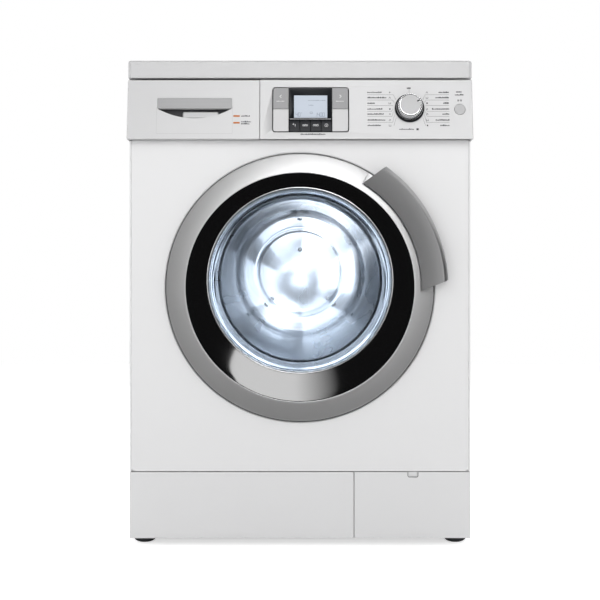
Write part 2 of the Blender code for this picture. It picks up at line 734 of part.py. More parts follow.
def make_handle(m):
    """A curved pull on the ring's upper right, a little longer along its outer edge."""
    section = (
        (HANDLE_INNER_R, -0.028),
        (0.247, -FRONT_REACH),
        (0.256, -0.037),
        (0.256, -0.022),
        (0.244, -0.022),
        (0.236, -0.016),
        (HANDLE_INNER_R, -0.016),
    )
    out = Vector((math.cos(HANDLE_MID), 0, math.sin(HANDLE_MID)))
    along = Vector((math.sin(HANDLE_MID), 0, -math.cos(HANDLE_MID)))
    centre = Vector((0, PANEL_Y, DOOR_Z))
    steps = 12
    bm = bmesh.new()
    rows = []
    for i in range(steps + 1):
        row = []
        for radius, depth in section:
            half = HANDLE_HALF + (radius - HANDLE_INNER_R) * HANDLE_FLARE
            offset = half * (2 * i / steps - 1)
            place = centre + out * math.sqrt(radius**2 - offset**2) + along * offset
            row.append(bm.verts.new(place + Vector((0, depth, 0))))
        rows.append(row)
    count = len(section)
    for this, following in zip(rows, rows[1:]):
        for i in range(count):
            j = (i + 1) % count
            bm.faces.new((this[i], this[j], following[j], following[i]))
    bm.faces.new(rows[0])
    bm.faces.new(rows[-1])
    chord = math.sqrt(HANDLE_INNER_R**2 - HANDLE_HALF**2)
    pivot = centre + out * chord + Vector((0, -0.016, 0))
    return finish(bm, "door_handle", m["silver"], pivot)


def make_latch(m):
    """The hook on the door, which turns about a vertical pivot, and the lock behind the front panel."""
    shank, barb = 0.0025, 0.0065
    outline = [
        (LATCH_X - shank, inward(-0.012)),
        (LATCH_X + shank, inward(-0.012)),
        (LATCH_X + shank, inward(0.027)),
        (LATCH_X + barb, inward(0.029)),
        (LATCH_X + shank, inward(0.035)),
        (LATCH_X - shank, inward(0.035)),
    ]
    pivot = (LATCH_X, inward(-0.008), LATCH_Z)
    prism("latch_hook", outline, LATCH_Z - 0.006, LATCH_Z + 0.006, "Z", m["zinc"], pivot)
    low = (LATCH_X - 0.012, inward(DISH_DEPTH + 0.0025), LATCH_Z - 0.030)
    lock = block("door_lock", low, (LATCH_X + 0.022, inward(0.050), LATCH_Z + 0.030), m["white_plastic"])
    low = (LATCH_X - 0.0075, inward(0.010), LATCH_Z - 0.009)
    return cut(lock, block("keeper", low, (LATCH_X + 0.0125, inward(0.042), LATCH_Z + 0.009)))


def make_hinge(m):
    """A swan-necked arm on the front panel, and the pin that the door turns on."""
    x, y = HINGE_X, inward(HINGE_D)
    arm = [
        (x - 0.0060, y + 0.0000),
        (x - 0.0040, y - 0.0048),
        (x + 0.0030, y - 0.0048),
        (x + 0.0140, y - 0.0010),
        (x + 0.0285, y + 0.0080),
        (x + 0.0285, inward(0.0135)),
        (x + 0.0230, inward(0.0135)),
        (x + 0.0210, y + 0.0110),
        (x + 0.0100, y + 0.0055),
        (x - 0.0030, y + 0.0050),
    ]
    bracket = prism("hinge_bracket", arm, DOOR_Z - 0.018, DOOR_Z + 0.018, "Z", m["cast_aluminium"])
    low = (x + 0.0165, inward(0.0122), DOOR_Z - 0.038)
    foot = block("bracket_foot", low, (x + 0.0330, inward(DISH_DEPTH - GAP), DOOR_Z + 0.038))
    fuse(bracket, foot)
    pivot = (x, y, DOOR_Z)
    cut(bracket, rod("arm_bore", 0.0034, -0.04, 0.04, pivot, "Z", steps=12))
    rod("hinge_pin", 0.003, -0.0332, 0.0332, pivot, "Z", 12, None, m["zinc"])


def make_gasket(m):
    """The rubber bellows from the port in the front panel to the mouth of the tub."""
    profile = [
        (PORT_R - GAP, 0.0165),
        (PORT_R - GAP, 0.0360),
        (0.1785, 0.0420),
        (0.1785, 0.0545),
        (0.1765, 0.0560),
        (0.1765, 0.0920),
        (0.1725, 0.0920),
        (0.1725, 0.0760),
        (0.1650, 0.0740),
        (0.1650, 0.0660),
        (0.1735, 0.0610),
        (0.1735, 0.0480),
        (0.1650, 0.0420),
        (0.1600, 0.0260),
        (0.1605, 0.0225),
        (0.1700, 0.0200),
        (0.1800, 0.0165),
    ]
    turned("door_gasket", profile, (0, PANEL_Y, GLASS_Z), m["grey_rubber"], RING_STEPS)


# ---------------------------------------------------------------- washing unit
def make_tub(m):
    outer = TUB_R + TUB_WALL
    flange = TUB_R + 0.009
    axis_point = (0, PANEL_Y, GLASS_Z)
    rear = [
        (TUB_R, TUB_SPLIT + GAP),
        (TUB_R, TUB_BACK),
        (0.040, TUB_BACK),
        (0.040, TUB_BACK - 0.006),
        (0.0262, TUB_BACK - 0.006),
        (0.0262, TUB_BACK + 0.045),
        (0.046, TUB_BACK + 0.045),
        (0.046, TUB_BACK + 0.005),
        (outer, TUB_BACK + 0.005),
        (outer, TUB_SPLIT + GAP + 0.006),
        (flange, TUB_SPLIT + GAP + 0.006),
        (flange, TUB_SPLIT + GAP),
    ]
    shell = turned("tub_rear", rear, axis_point, m["tub_plastic"], DRUM_STEPS + 4)
    for side in (-1, 1):
        for name, inner, outer_x, low_z, high_z in (
            ("spring_ear", 0.200, SPRING_X + 0.006, 0.612, 0.628),
            ("damper_ear", 0.206, DAMPER_X + 0.012, 0.330, 0.344),
        ):
            ends = sorted((side * inner, side * outer_x))
            low = (ends[0], inward(SUPPORT_D - 0.010), low_z)
            fuse(shell, block(f"{name}_{side}", low, (ends[1], inward(SUPPORT_D + 0.010), high_z)))
    clear = TUB_R + 0.0005
    hollow = rod("tub_hollow", clear, 0.20, TUB_BACK - 0.0005, axis_point, steps=DRUM_STEPS + 4)
    cut(shell, hollow)

    front = [
        (0.168, TUB_FRONT - 0.018),
        (0.172, TUB_FRONT - 0.018),
        (0.172, TUB_FRONT),
        (outer, TUB_FRONT),
        (outer, TUB_SPLIT - 0.006),
        (flange, TUB_SPLIT - 0.006),
        (flange, TUB_SPLIT),
        (TUB_R, TUB_SPLIT),
        (TUB_R, TUB_FRONT + TUB_WALL),
        (0.168, TUB_FRONT + TUB_WALL),
    ]
    turned("tub_front", front, axis_point, m["tub_plastic"], DRUM_STEPS + 4)

    for name, depth in (("drum_bearing", TUB_BACK + 0.018),):
        ring = [(SHAFT_R + 0.0004, 0), (0.0258, 0), (0.0258, 0.016), (SHAFT_R + 0.0004, 0.016)]
        turned(name, ring, (0, inward(depth), GLASS_Z), m["zinc"], 24)


def make_counterweights(m):
    ring = [(0.180, 0.060), (0.246, 0.060), (0.246, TUB_FRONT - GAP), (0.180, TUB_FRONT - GAP)]
    turned("front_counterweight", ring, (0, PANEL_Y, GLASS_Z), m["concrete"], DRUM_STEPS)
    seat_r = TUB_R + TUB_WALL + 0.0025
    left, right, top = -0.060, 0.190, 0.785
    low_x, high_x = math.acos(right / seat_r), math.acos(left / seat_r)
    outline = arc((0, GLASS_Z), seat_r, low_x, high_x, 8) + [(left, top), (right, top)]
    prism("upper_counterweight", outline, inward(0.240), inward(0.440), "Y", m["concrete"])


def make_drum(m):
    axis_point = (0, PANEL_Y, GLASS_Z)
    inner = DRUM_R - DRUM_SKIN
    shell = [
        (DRUM_MOUTH_R, DRUM_FRONT - 0.004),
        (DRUM_MOUTH_R + DRUM_SKIN, DRUM_FRONT - 0.004),
        (DRUM_MOUTH_R + 0.004, DRUM_FRONT),
        (DRUM_R - 0.006, DRUM_FRONT),
        (DRUM_R, DRUM_FRONT + 0.006),
        (DRUM_R, DRUM_BACK),
        (0.012, DRUM_BACK),
        (0.012, DRUM_BACK - DRUM_SKIN),
        (inner, DRUM_BACK - DRUM_SKIN),
        (inner, DRUM_FRONT + 0.006),
        (DRUM_R - 0.0065, DRUM_FRONT + DRUM_SKIN),
        (DRUM_MOUTH_R + 0.003, DRUM_FRONT + DRUM_SKIN),
        (DRUM_MOUTH_R, DRUM_FRONT - 0.001),
    ]
    turned("drum_shell", shell, axis_point, m["stainless"], DRUM_STEPS)

    seat = inner * math.cos(math.pi / DRUM_STEPS) - GAP
    base, crest, height = 0.034, 0.010, 0.052
    outline = [(-base, 0.012), (-crest, height), (crest, height), (base, 0.012), (base * 0.9, 0.003)]
    outline += [(0.0, 0.0), (-base * 0.9, 0.003)]
    outline = [(x, GLASS_Z - seat + z) for x, z in outline]
    for i in range(3):
        paddle = prism(
            f"lifter_{i + 1}", outline, inward(DRUM_FRONT + 0.020), inward(DRUM_BACK - 0.018), "Y",
            m["white_plastic"], at=axis_point,
        )
        paddle.rotation_euler = (0, math.radians(60 + 120 * i), 0)

    shaft = [
        (0.0, DRUM_BACK + GAP),
        (0.034, DRUM_BACK + GAP),
        (0.034, TUB_BACK - 0.010),
        (SHAFT_R, TUB_BACK - 0.008),
        (SHAFT_R, 0.508),
        (0.010, 0.508),
        (0.010, 0.536),
        (0.0, 0.536),
    ]
    spider = turned("drum_spider", shaft, axis_point, m["cast_aluminium"], 20)
    for i in range(3):
        low = (-0.019, inward(DRUM_BACK + GAP + 0.0002), GLASS_Z + 0.010)
        arm = block(f"arm_{i}", low, (0.019, inward(DRUM_BACK + 0.018), GLASS_Z + 0.214), at=axis_point)
        arm.rotation_euler = (0, math.radians(120 * i), 0)
        fuse(spider, arm)

    rim, half_rim = PULLEY_R - 0.006, 0.009
    pulley = [
        (0.0104, -0.010),
        (0.020, -0.010),
        (0.020, -0.002),
        (rim, -0.002),
        (rim, -half_rim),
        (PULLEY_R, -half_rim),
        (PULLEY_R, half_rim),
        (rim, half_rim),
        (rim, 0.002),
        (0.020, 0.002),
        (0.020, 0.010),
        (0.0104, 0.010),
    ]
    turned("drum_pulley", pulley, (0, inward(PULLEY_D), GLASS_Z), m["cast_aluminium"], DRUM_STEPS)


def make_drive(m):
    motor = [(0.0, 0.350), (0.040, 0.350), (MOTOR_R, 0.362), (MOTOR_R, 0.478), (0.040, 0.490), (0.0, 0.490)]
    turned("motor", motor, (MOTOR_X, PANEL_Y, MOTOR_Z), m["motor_steel"], 20)
    half_face = 0.010
    rotor = [
        (0.0, 0.4905),
        (0.005, 0.4905),
        (0.005, PULLEY_D - half_face),
        (MOTOR_PULLEY_R, PULLEY_D - half_face),
        (MOTOR_PULLEY_R, PULLEY_D + half_face),
        (0.0, PULLEY_D + half_face),
    ]
    turned("motor_pulley", rotor, (MOTOR_X, PANEL_Y, MOTOR_Z), m["zinc"], 16)
    belt = prism_ring("drive_belt", belt_line(0.0030), belt_line(0.0008), PULLEY_D, 0.007, m["black_rubber"])
    return belt


def belt_line(stand_off):
    """The belt's path round both pulleys, this far outside their faces, as (x, z) points."""
    big, small = PULLEY_R + stand_off, MOTOR_PULLEY_R + stand_off
    run = Vector((MOTOR_X, MOTOR_Z - GLASS_Z))
    heading = math.atan2(run.y, run.x)
    spread = math.acos((big - small) / run.length)
    around_big = arc((0, GLASS_Z), big, heading + spread, heading + math.tau - spread, 26)
    return around_big + arc((MOTOR_X, MOTOR_Z), small, heading - spread, heading + spread, 6)


def prism_ring(name, outside, inside, depth, half, finish_material):
    """A closed band between two (x, z) loops with the same number of points."""
    bm = bmesh.new()
    loops = []
    for line, reach in ((outside, -half), (outside, half), (inside, half), (inside, -half)):
        loops.append([bm.verts.new((x, inward(depth + reach), z)) for x, z in line])
    count = len(outside)
    for this, following in zip(loops, loops[1:] + loops[:1]):
        for i in range(count):
            j = (i + 1) % count
            bm.faces.new((this[i], this[j], following[j], following[i]))
    return finish(bm, name, finish_material)


def make_springs(m):
    """Coil springs that hang the tub from the cabinet's sides."""
    turns, per_turn, radius, wire = 9, 8, 0.0095, 0.0016
    low, high = 0.6305, 0.7975
    for label, side in (("left", -1), ("right", 1)):
        line = bpy.data.curves.new(f"suspension_spring_{label}", "CURVE")
        line.dimensions = "3D"
        line.bevel_depth = wire
        line.bevel_resolution = 0
        line.use_fill_caps = True
        spline = line.splines.new("POLY")
        count = turns * per_turn
        spline.points.add(count)
        for i, point in enumerate(spline.points):
            angle = math.tau * i / per_turn
            x, y = side * SPRING_X + radius * math.cos(angle), inward(SUPPORT_D) + radius * math.sin(angle)
            point.co = (x, y, low + (high - low) * i / count, 1.0)
        coil = bpy.data.objects.new(f"suspension_spring_{label}", line)
        line.materials.append(m["zinc"])
        bpy.context.scene.collection.objects.link(coil)


def make_dampers(m):
    """Friction dampers: a cylinder that stands on the base and a rod that follows the tub."""
    tube = [
        (0.0072, 0.210),
        (0.0125, 0.210),
        (0.0125, 0.024),
        (0.0, 0.024),
        (0.0, 0.034),
        (0.0072, 0.034),
    ]
    piston = [(0.0, 0.090), (0.0066, 0.090), (0.0066, 0.312), (0.010, 0.315), (0.010, 0.3295), (0.0, 0.3295)]
    for label, side in (("left", -1), ("right", 1)):
        foot = (side * DAMPER_X, inward(SUPPORT_D), 0)
        turned(f"damper_cylinder_{label}", tube, foot, m["black_rubber"], 16, "Z")
        turned(f"damper_rod_{label}", piston, foot, m["zinc"], 16, "Z")


# ---------------------------------------------------------------- water and mains
def make_pump(m):
    centre = (FILTER_X, PANEL_Y, FILTER_Z)
    cup = [
        (0.0300, 0.0330),
        (0.0350, 0.0330),
        (0.0350, 0.1100),
        (0.0280, 0.1150),
        (0.0280, 0.1650),
        (0.0, 0.1650),
        (0.0, 0.1050),
        (0.0300, 0.1050),
    ]
    housing = turned("pump_housing", cup, centre, m["tub_plastic"], 24)
    inlet = rod("pump_inlet", 0.016, 0.0, 0.060, (FILTER_X, inward(0.085), FILTER_Z + 0.012), "Z")
    cut(housing, rod("strainer_bore", 0.0300, 0.030, 0.1049, centre, steps=24))
    fuse(housing, inlet)
    cut(housing, rod("bore", 0.0300, 0.030, 0.1048, centre, steps=24))
    cap = [
        (0.0, 0.0240),
        (0.0285, 0.0240),
        (0.0285, 0.0420),
        (0.0240, 0.0440),
        (0.0240, 0.0980),
        (0.0, 0.0980),
    ]
    strainer = turned("pump_filter", cap, centre, m["blue_plastic"], 20)
    low = (FILTER_X - 0.024, inward(0.0125), FILTER_Z - 0.004)
    fuse(strainer, block("filter_grip", low, (FILTER_X + 0.024, inward(0.0260), FILTER_Z + 0.004)))


def make_rear_fittings(m):
    _, inlet_x, inlet_z, inlet_r = REAR_PORTS[0]
    at = (inlet_x, REAR_Y, inlet_z)
    valve = block(
        "inlet_valve",
        (inlet_x - 0.022, REAR_Y - 0.060, inlet_z - 0.020),
        (inlet_x + 0.022, REAR_Y - 0.006, inlet_z + 0.024),
        m["blue_plastic"],
        bevel=0.002,
    )
    fuse(valve, rod("inlet_port", inlet_r, -0.010, REAR_REACH, at))
    cut(valve, rod("inlet_bore", 0.0095, 0.002, REAR_REACH + 0.01, at))
    _, drain_x, drain_z, drain_r = REAR_PORTS[1]
    barb = [
        (0.0085, -0.030),
        (drain_r, -0.030),
        (drain_r, -0.004),
        (0.017, -0.004),
        (0.017, -0.0015),
        (drain_r, -0.0015),
        (drain_r, 0.018),
        (0.0085, 0.018),
    ]
    turned("drain_outlet", barb, (drain_x, REAR_Y, drain_z), m["grey_rubber"], 16)
    _, cable_x, cable_z, cable_r = REAR_PORTS[2]
    gland = [
        (0.0042, -0.020),
        (cable_r, -0.020),
        (cable_r, 0.0006),
        (0.0135, 0.0006),
        (0.0135, 0.0040),
        (0.0070, 0.0150),
        (0.0042, 0.0150),
    ]
    turned("cable_gland", gland, (cable_x, REAR_Y, cable_z), m["black_rubber"], 16)


def main():
    clear_scene()
    m = make_materials()
    frame = make_fascia_frame()
    make_cabinet(m)
    make_front_panel(m)
    make_worktop(m)
    make_base(m)
    make_feet(m)
    make_plinth(m)
    make_service_flap(m)
    make_fascia(m, frame)
    make_display(m, frame)
    make_keys(m, frame)
    make_dial(m, frame)
    make_drawer(m, frame)
    make_dispenser_housing(m)
    make_door(m)
    make_handle(m)
    make_latch(m)
    make_hinge(m)
    make_gasket(m)
    make_tub(m)
    make_counterweights(m)
    make_drum(m)
    make_drive(m)
    make_springs(m)
    make_dampers(m)
    make_pump(m)
    make_rear_fittings(m)


main()
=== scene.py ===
"""The looks of a front-loading washing machine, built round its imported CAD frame."""

import random
from math import asin, atan, cos, hypot, pi, radians, sin, sqrt, tau

import bmesh
import bpy
from mathutils import Matrix, Vector


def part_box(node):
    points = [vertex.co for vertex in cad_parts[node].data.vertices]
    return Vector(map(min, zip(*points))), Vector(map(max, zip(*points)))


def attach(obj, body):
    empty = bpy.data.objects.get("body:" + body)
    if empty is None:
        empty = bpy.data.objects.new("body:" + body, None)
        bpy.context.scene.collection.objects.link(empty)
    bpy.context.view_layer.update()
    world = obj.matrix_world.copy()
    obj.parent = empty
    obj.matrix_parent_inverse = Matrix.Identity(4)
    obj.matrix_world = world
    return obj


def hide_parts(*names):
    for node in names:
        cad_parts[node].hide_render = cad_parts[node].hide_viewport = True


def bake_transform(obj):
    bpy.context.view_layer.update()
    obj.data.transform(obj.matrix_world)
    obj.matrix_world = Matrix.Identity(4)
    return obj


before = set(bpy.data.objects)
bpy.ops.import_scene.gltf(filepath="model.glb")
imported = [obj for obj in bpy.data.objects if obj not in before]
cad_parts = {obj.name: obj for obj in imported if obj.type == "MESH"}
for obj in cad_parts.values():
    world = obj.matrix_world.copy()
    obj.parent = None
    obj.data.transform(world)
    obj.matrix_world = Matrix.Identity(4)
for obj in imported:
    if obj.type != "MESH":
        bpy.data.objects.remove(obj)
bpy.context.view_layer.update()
rng = random.Random(7)

# ---------------------------------------------------------------- places: from the frame, then the looks' own
PANEL_LOW, PANEL_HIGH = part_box("front_panel")
SHELL_LOW, SHELL_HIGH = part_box("cabinet_shell")
FASCIA_LOW, FASCIA_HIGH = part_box("fascia")
RING_LOW, RING_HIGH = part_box("door_frame")
DRUM_LOW, DRUM_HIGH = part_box("drum_shell")
PANEL_Y = PANEL_LOW.y
DOOR_Z = (RING_LOW.z + RING_HIGH.z) / 2
GLASS_Z = (DRUM_LOW.z + DRUM_HIGH.z) / 2
DOOR_AXIS, GLASS_AXIS = (0, PANEL_Y, DOOR_Z), (0, PANEL_Y, GLASS_Z)
RING_R = RING_HIGH.x
FACE_RISE, FACE_SET_BACK = 0.105, 0.019
RAKE = atan(FACE_SET_BACK / FACE_RISE)
FACE_Z = (FASCIA_LOW.z + FASCIA_HIGH.z) / 2
FACE_HALF = (FASCIA_HIGH.z - FASCIA_LOW.z) / 2 / cos(RAKE)
FACE = Matrix.Translation((0, PANEL_Y - 0.0215, FACE_Z)) @ Matrix.Rotation(-RAKE, 4, "X")
SEAM_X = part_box("drawer_front")[1].x + 0.0008
BOWL_LEAN = 0.165
DIAL_X, DIAL_Z = 0.190, 0.0018
START_X, START_Z = 0.2777, 0.0004
INLET_Z = 0.775


def inward(depth):
    return PANEL_Y + depth


# ---------------------------------------------------------------- camera, lights, floor
def make_stage():
    scene = bpy.context.scene
    scene.view_settings.view_transform = "Standard"
    scene.cycles.use_denoising = True
    scene.cycles.max_bounces = 14
    scene.cycles.transmission_bounces = 10
    scene.cycles.transparent_max_bounces = 16
    scene.cycles.caustics_refractive = False
    scene.cycles.sample_clamp_indirect = 6.0
    camera = bpy.data.cameras.new("camera")
    camera.lens = 75.3
    camera.sensor_width = 36.0
    camera.clip_end = 50
    eye = bpy.data.objects.new("camera", camera)
    eye.location = (0, PANEL_Y - 2.2, 0.430)
    eye.rotation_euler = (pi / 2, 0, 0)
    scene.collection.objects.link(eye)
    scene.camera = eye

    def softbox(name, at, target, width, height, radiance, fade=None, inside=False, **seen_by):
        """A soft rectangular lamp. fade gives how far its strength ramps up from its own left edge."""
        light = bpy.data.lights.new(name, "AREA")
        light.shape = "RECTANGLE"
        light.size, light.size_y, light.energy = width, height, radiance * pi * width * height
        lamp = bpy.data.objects.new(name, light)
        lamp.location = at
        lamp.rotation_euler = (Vector(target) - Vector(at)).to_track_quat("-Z", "Y").to_euler()
        lamp.visible_camera = False
        lamp.visible_transmission = not inside
        lamp.visible_glossy, lamp.visible_diffuse = seen_by.get("glossy", True), seen_by.get("diffuse", True)
        if fade:
            light.use_nodes = True
            tree = light.node_tree
            where = node(tree, "ShaderNodeNewGeometry").outputs["Parametric"]
            place = node(tree, "ShaderNodeSeparateXYZ", where)
            limits = {"From Min": fade[0], "From Max": fade[1]}
            ramp = node(tree, "ShaderNodeMapRange", place.outputs["X"], **limits)
            tree.links.new(ramp.outputs[0], tree.nodes["Emission"].inputs["Strength"])
        scene.collection.objects.link(lamp)

    door = (0, PANEL_Y, 0.30)
    softbox("key_light", (0.20, -2.40, 1.77), door, 1.45, 1.02, 8.8, fade=(0.02, 0.40), diffuse=False)
    softbox("wash_light", (-0.4, -4.4, 1.0), (0, PANEL_Y, 0.45), 3.6, 2.4, 2.7, glossy=False)
    softbox("front_light", (0, -4.4, 1.15), (0, PANEL_Y, 0.45), 2.6, 1.5, 1.6)
    softbox("left_light", (-1.25, -2.9, 0.60), (0, PANEL_Y, 0.45), 0.4, 1.1, 1.9)
    softbox("right_light", (1.25, -2.9, 0.40), (0, PANEL_Y, 0.45), 0.4, 1.1, 1.8)
    softbox("top_light", (0, 0.9, 2.9), (0, 0.3, 0.8), 2.0, 1.4, 2.6)
    softbox("rear_light", (0.5, 3.2, 1.3), (0, 0.2, 0.4), 3.0, 2.2, 2.6)
    softbox("side_light_left", (-3.0, 0.5, 1.0), (-0.3, 0, 0.4), 1.8, 1.8, 3.4, glossy=False)
    softbox("side_light_right", (3.0, 0.5, 1.0), (0.3, 0, 0.4), 1.8, 1.8, 3.4, glossy=False)
    softbox("drum_glow", (0.03, inward(0.16), GLASS_Z + 0.150), (0.0, inward(0.33), GLASS_Z - 0.03), 0.20,
            0.05, 6, inside=True)

    world = bpy.data.worlds.new("studio")
    scene.world = world
    world.use_nodes = True
    tree = world.node_tree
    tree.nodes.clear()
    ray = node(tree, "ShaderNodeLightPath").outputs
    diffuse, glossy, seen = 0.47, 0.05, 1.0
    fill = node(tree, "ShaderNodeMix", Factor=ray["Is Glossy Ray"], A=diffuse, B=glossy)
    strength = node(tree, "ShaderNodeMix", Factor=ray["Is Camera Ray"], A=fill.outputs["Result"], B=seen)
    sky = node(tree, "ShaderNodeBackground", Color=(1, 1, 1, 1), Strength=strength.outputs["Result"])
    node(tree, "ShaderNodeOutputWorld", sky.outputs[0])

    bm = bmesh.new()
    bmesh.ops.create_grid(bm, x_segments=1, y_segments=1, size=6)
    mesh = bpy.data.meshes.new("floor")
    bm.to_mesh(mesh)
    bm.free()
    floor = bpy.data.objects.new("floor", mesh)
    floor.location.z = -0.0004
    floor.visible_glossy = False
    scene.collection.objects.link(floor)
    mesh.materials.append(MATERIALS["floor"])


# ---------------------------------------------------------------- materials
def principled(name, colour, roughness, metallic=0.0, specular=0.5, transmission=0.0, ior=1.5):
    made = bpy.data.materials.new(name)
    made.use_nodes = True
    settings = {"Base Color": (*colour, 1.0), "Roughness": roughness, "Metallic": metallic,
                "Specular IOR Level": specular, "Transmission Weight": transmission, "IOR": ior}
    for key, value in settings.items():
        surface(made)[key].default_value = value
    return made


def node(tree, kind, *inputs, **values):
    """A shader node. Its first inputs go by place, the rest and its settings by name. A socket is linked."""
    made = tree.nodes.new(kind)
    for key, value in [*enumerate(inputs), *values.items()]:
        if isinstance(key, str) and key not in made.inputs:
            setattr(made, key, value)
        elif isinstance(value, bpy.types.NodeSocket):
            tree.links.new(value, made.inputs[key])
        else:
            made.inputs[key].default_value = value
    return made


def surface(made):
    return made.node_tree.nodes["Principled BSDF"].inputs


def roughen(made, where, scale, detail, strength, distance):
    """A bump from noise that is read at a place, which is a socket. It gives the noise."""
    tree = made.node_tree
    noise = node(tree, "ShaderNodeTexNoise", Vector=where, Scale=scale, Detail=detail).outputs["Fac"]
    bump = node(tree, "ShaderNodeBump", Height=noise, Strength=strength, Distance=distance)
    tree.links.new(bump.outputs[0], surface(made)["Normal"])
    return noise


def grain(made, scale, strength, spread=0.0, mottle=0.0, stretch=(1, 1, 1), distance=0.001):
    """Gives a material a fine bump, and lets its roughness and colour vary by a little."""
    tree = made.node_tree
    where = node(tree, "ShaderNodeTexCoord").outputs["Object"]
    mapping = node(tree, "ShaderNodeMapping", Vector=where, Scale=stretch)
    noise = roughen(made, mapping.outputs[0], scale, 4.0, strength, distance)
    if spread:
        base = surface(made)["Roughness"].default_value
        wide = node(tree, "ShaderNodeTexNoise", Vector=where, Scale=9.0, Detail=3.0)
        limits = {"To Min": max(base - spread, 0.01), "To Max": base + spread}
        ramp = node(tree, "ShaderNodeMapRange", wide.outputs["Fac"], **limits)
        tree.links.new(ramp.outputs[0], surface(made)["Roughness"])
    if mottle:
        colour = surface(made)["Base Color"].default_value[:3]
        ramp = node(tree, "ShaderNodeValToRGB", noise)
        ramp.color_ramp.elements[0].color = (*[c * (1 - mottle) for c in colour], 1)
        ramp.color_ramp.elements[1].color = (*[min(c * (1 + mottle), 1) for c in colour], 1)
        tree.links.new(ramp.outputs[0], surface(made)["Base Color"])
    return made


def circular_brushing(made, strength, centre_z):
    """Fine lines round an axis along Y through (0, centre_z), as a turned and brushed face has."""
    tree = made.node_tree
    across_per_metre, along_per_radian = 2600.0, 3.0

    def sum_of(operation, *inputs):
        return node(tree, "ShaderNodeMath", *inputs, operation=operation).outputs[0]

    split = node(tree, "ShaderNodeSeparateXYZ", node(tree, "ShaderNodeTexCoord").outputs["Object"])
    x, z = split.outputs["X"], sum_of("SUBTRACT", split.outputs["Z"], centre_z)
    spoke = node(tree, "ShaderNodeCombineXYZ", x, z)
    radius = node(tree, "ShaderNodeVectorMath", spoke.outputs[0], operation="LENGTH").outputs["Value"]
    across = sum_of("MULTIPLY", radius, across_per_metre)
    along = sum_of("MULTIPLY", sum_of("ARCTAN2", z, x), along_per_radian)
    place = node(tree, "ShaderNodeCombineXYZ", across, along)
    roughen(made, place.outputs[0], 1.0, 3.0, strength, 0.0004)
    return made


def see_through(made):
    """Lets lamps shine through clear glass, so what is behind it is lit."""
    tree = made.node_tree
    clear = node(tree, "ShaderNodeBsdfTransparent", Color=(0.93, 0.95, 0.97, 1))
    shadow = node(tree, "ShaderNodeLightPath").outputs["Is Shadow Ray"]
    mix = node(tree, "ShaderNodeMixShader", shadow, tree.nodes["Principled BSDF"].outputs[0],
               clear.outputs[0])
    tree.links.new(mix.outputs[0], tree.nodes["Material Output"].inputs[0])
    return made


def surfaced(name, colour, roughness, scale, bump, spread=0.0, mottle=0.0, stretch=(1, 1, 1),
             distance=0.001, **optics):
    """A material with a grain. scale and bump are the grain's, and spread is how far its roughness varies."""
    made = principled(name, colour, roughness, **optics)
    return grain(made, scale, bump, spread, mottle, stretch, distance)


def brushed(name, colour, roughness, metallic, strength):
    return circular_brushing(principled(name, colour, roughness, metallic), strength, DOOR_Z)


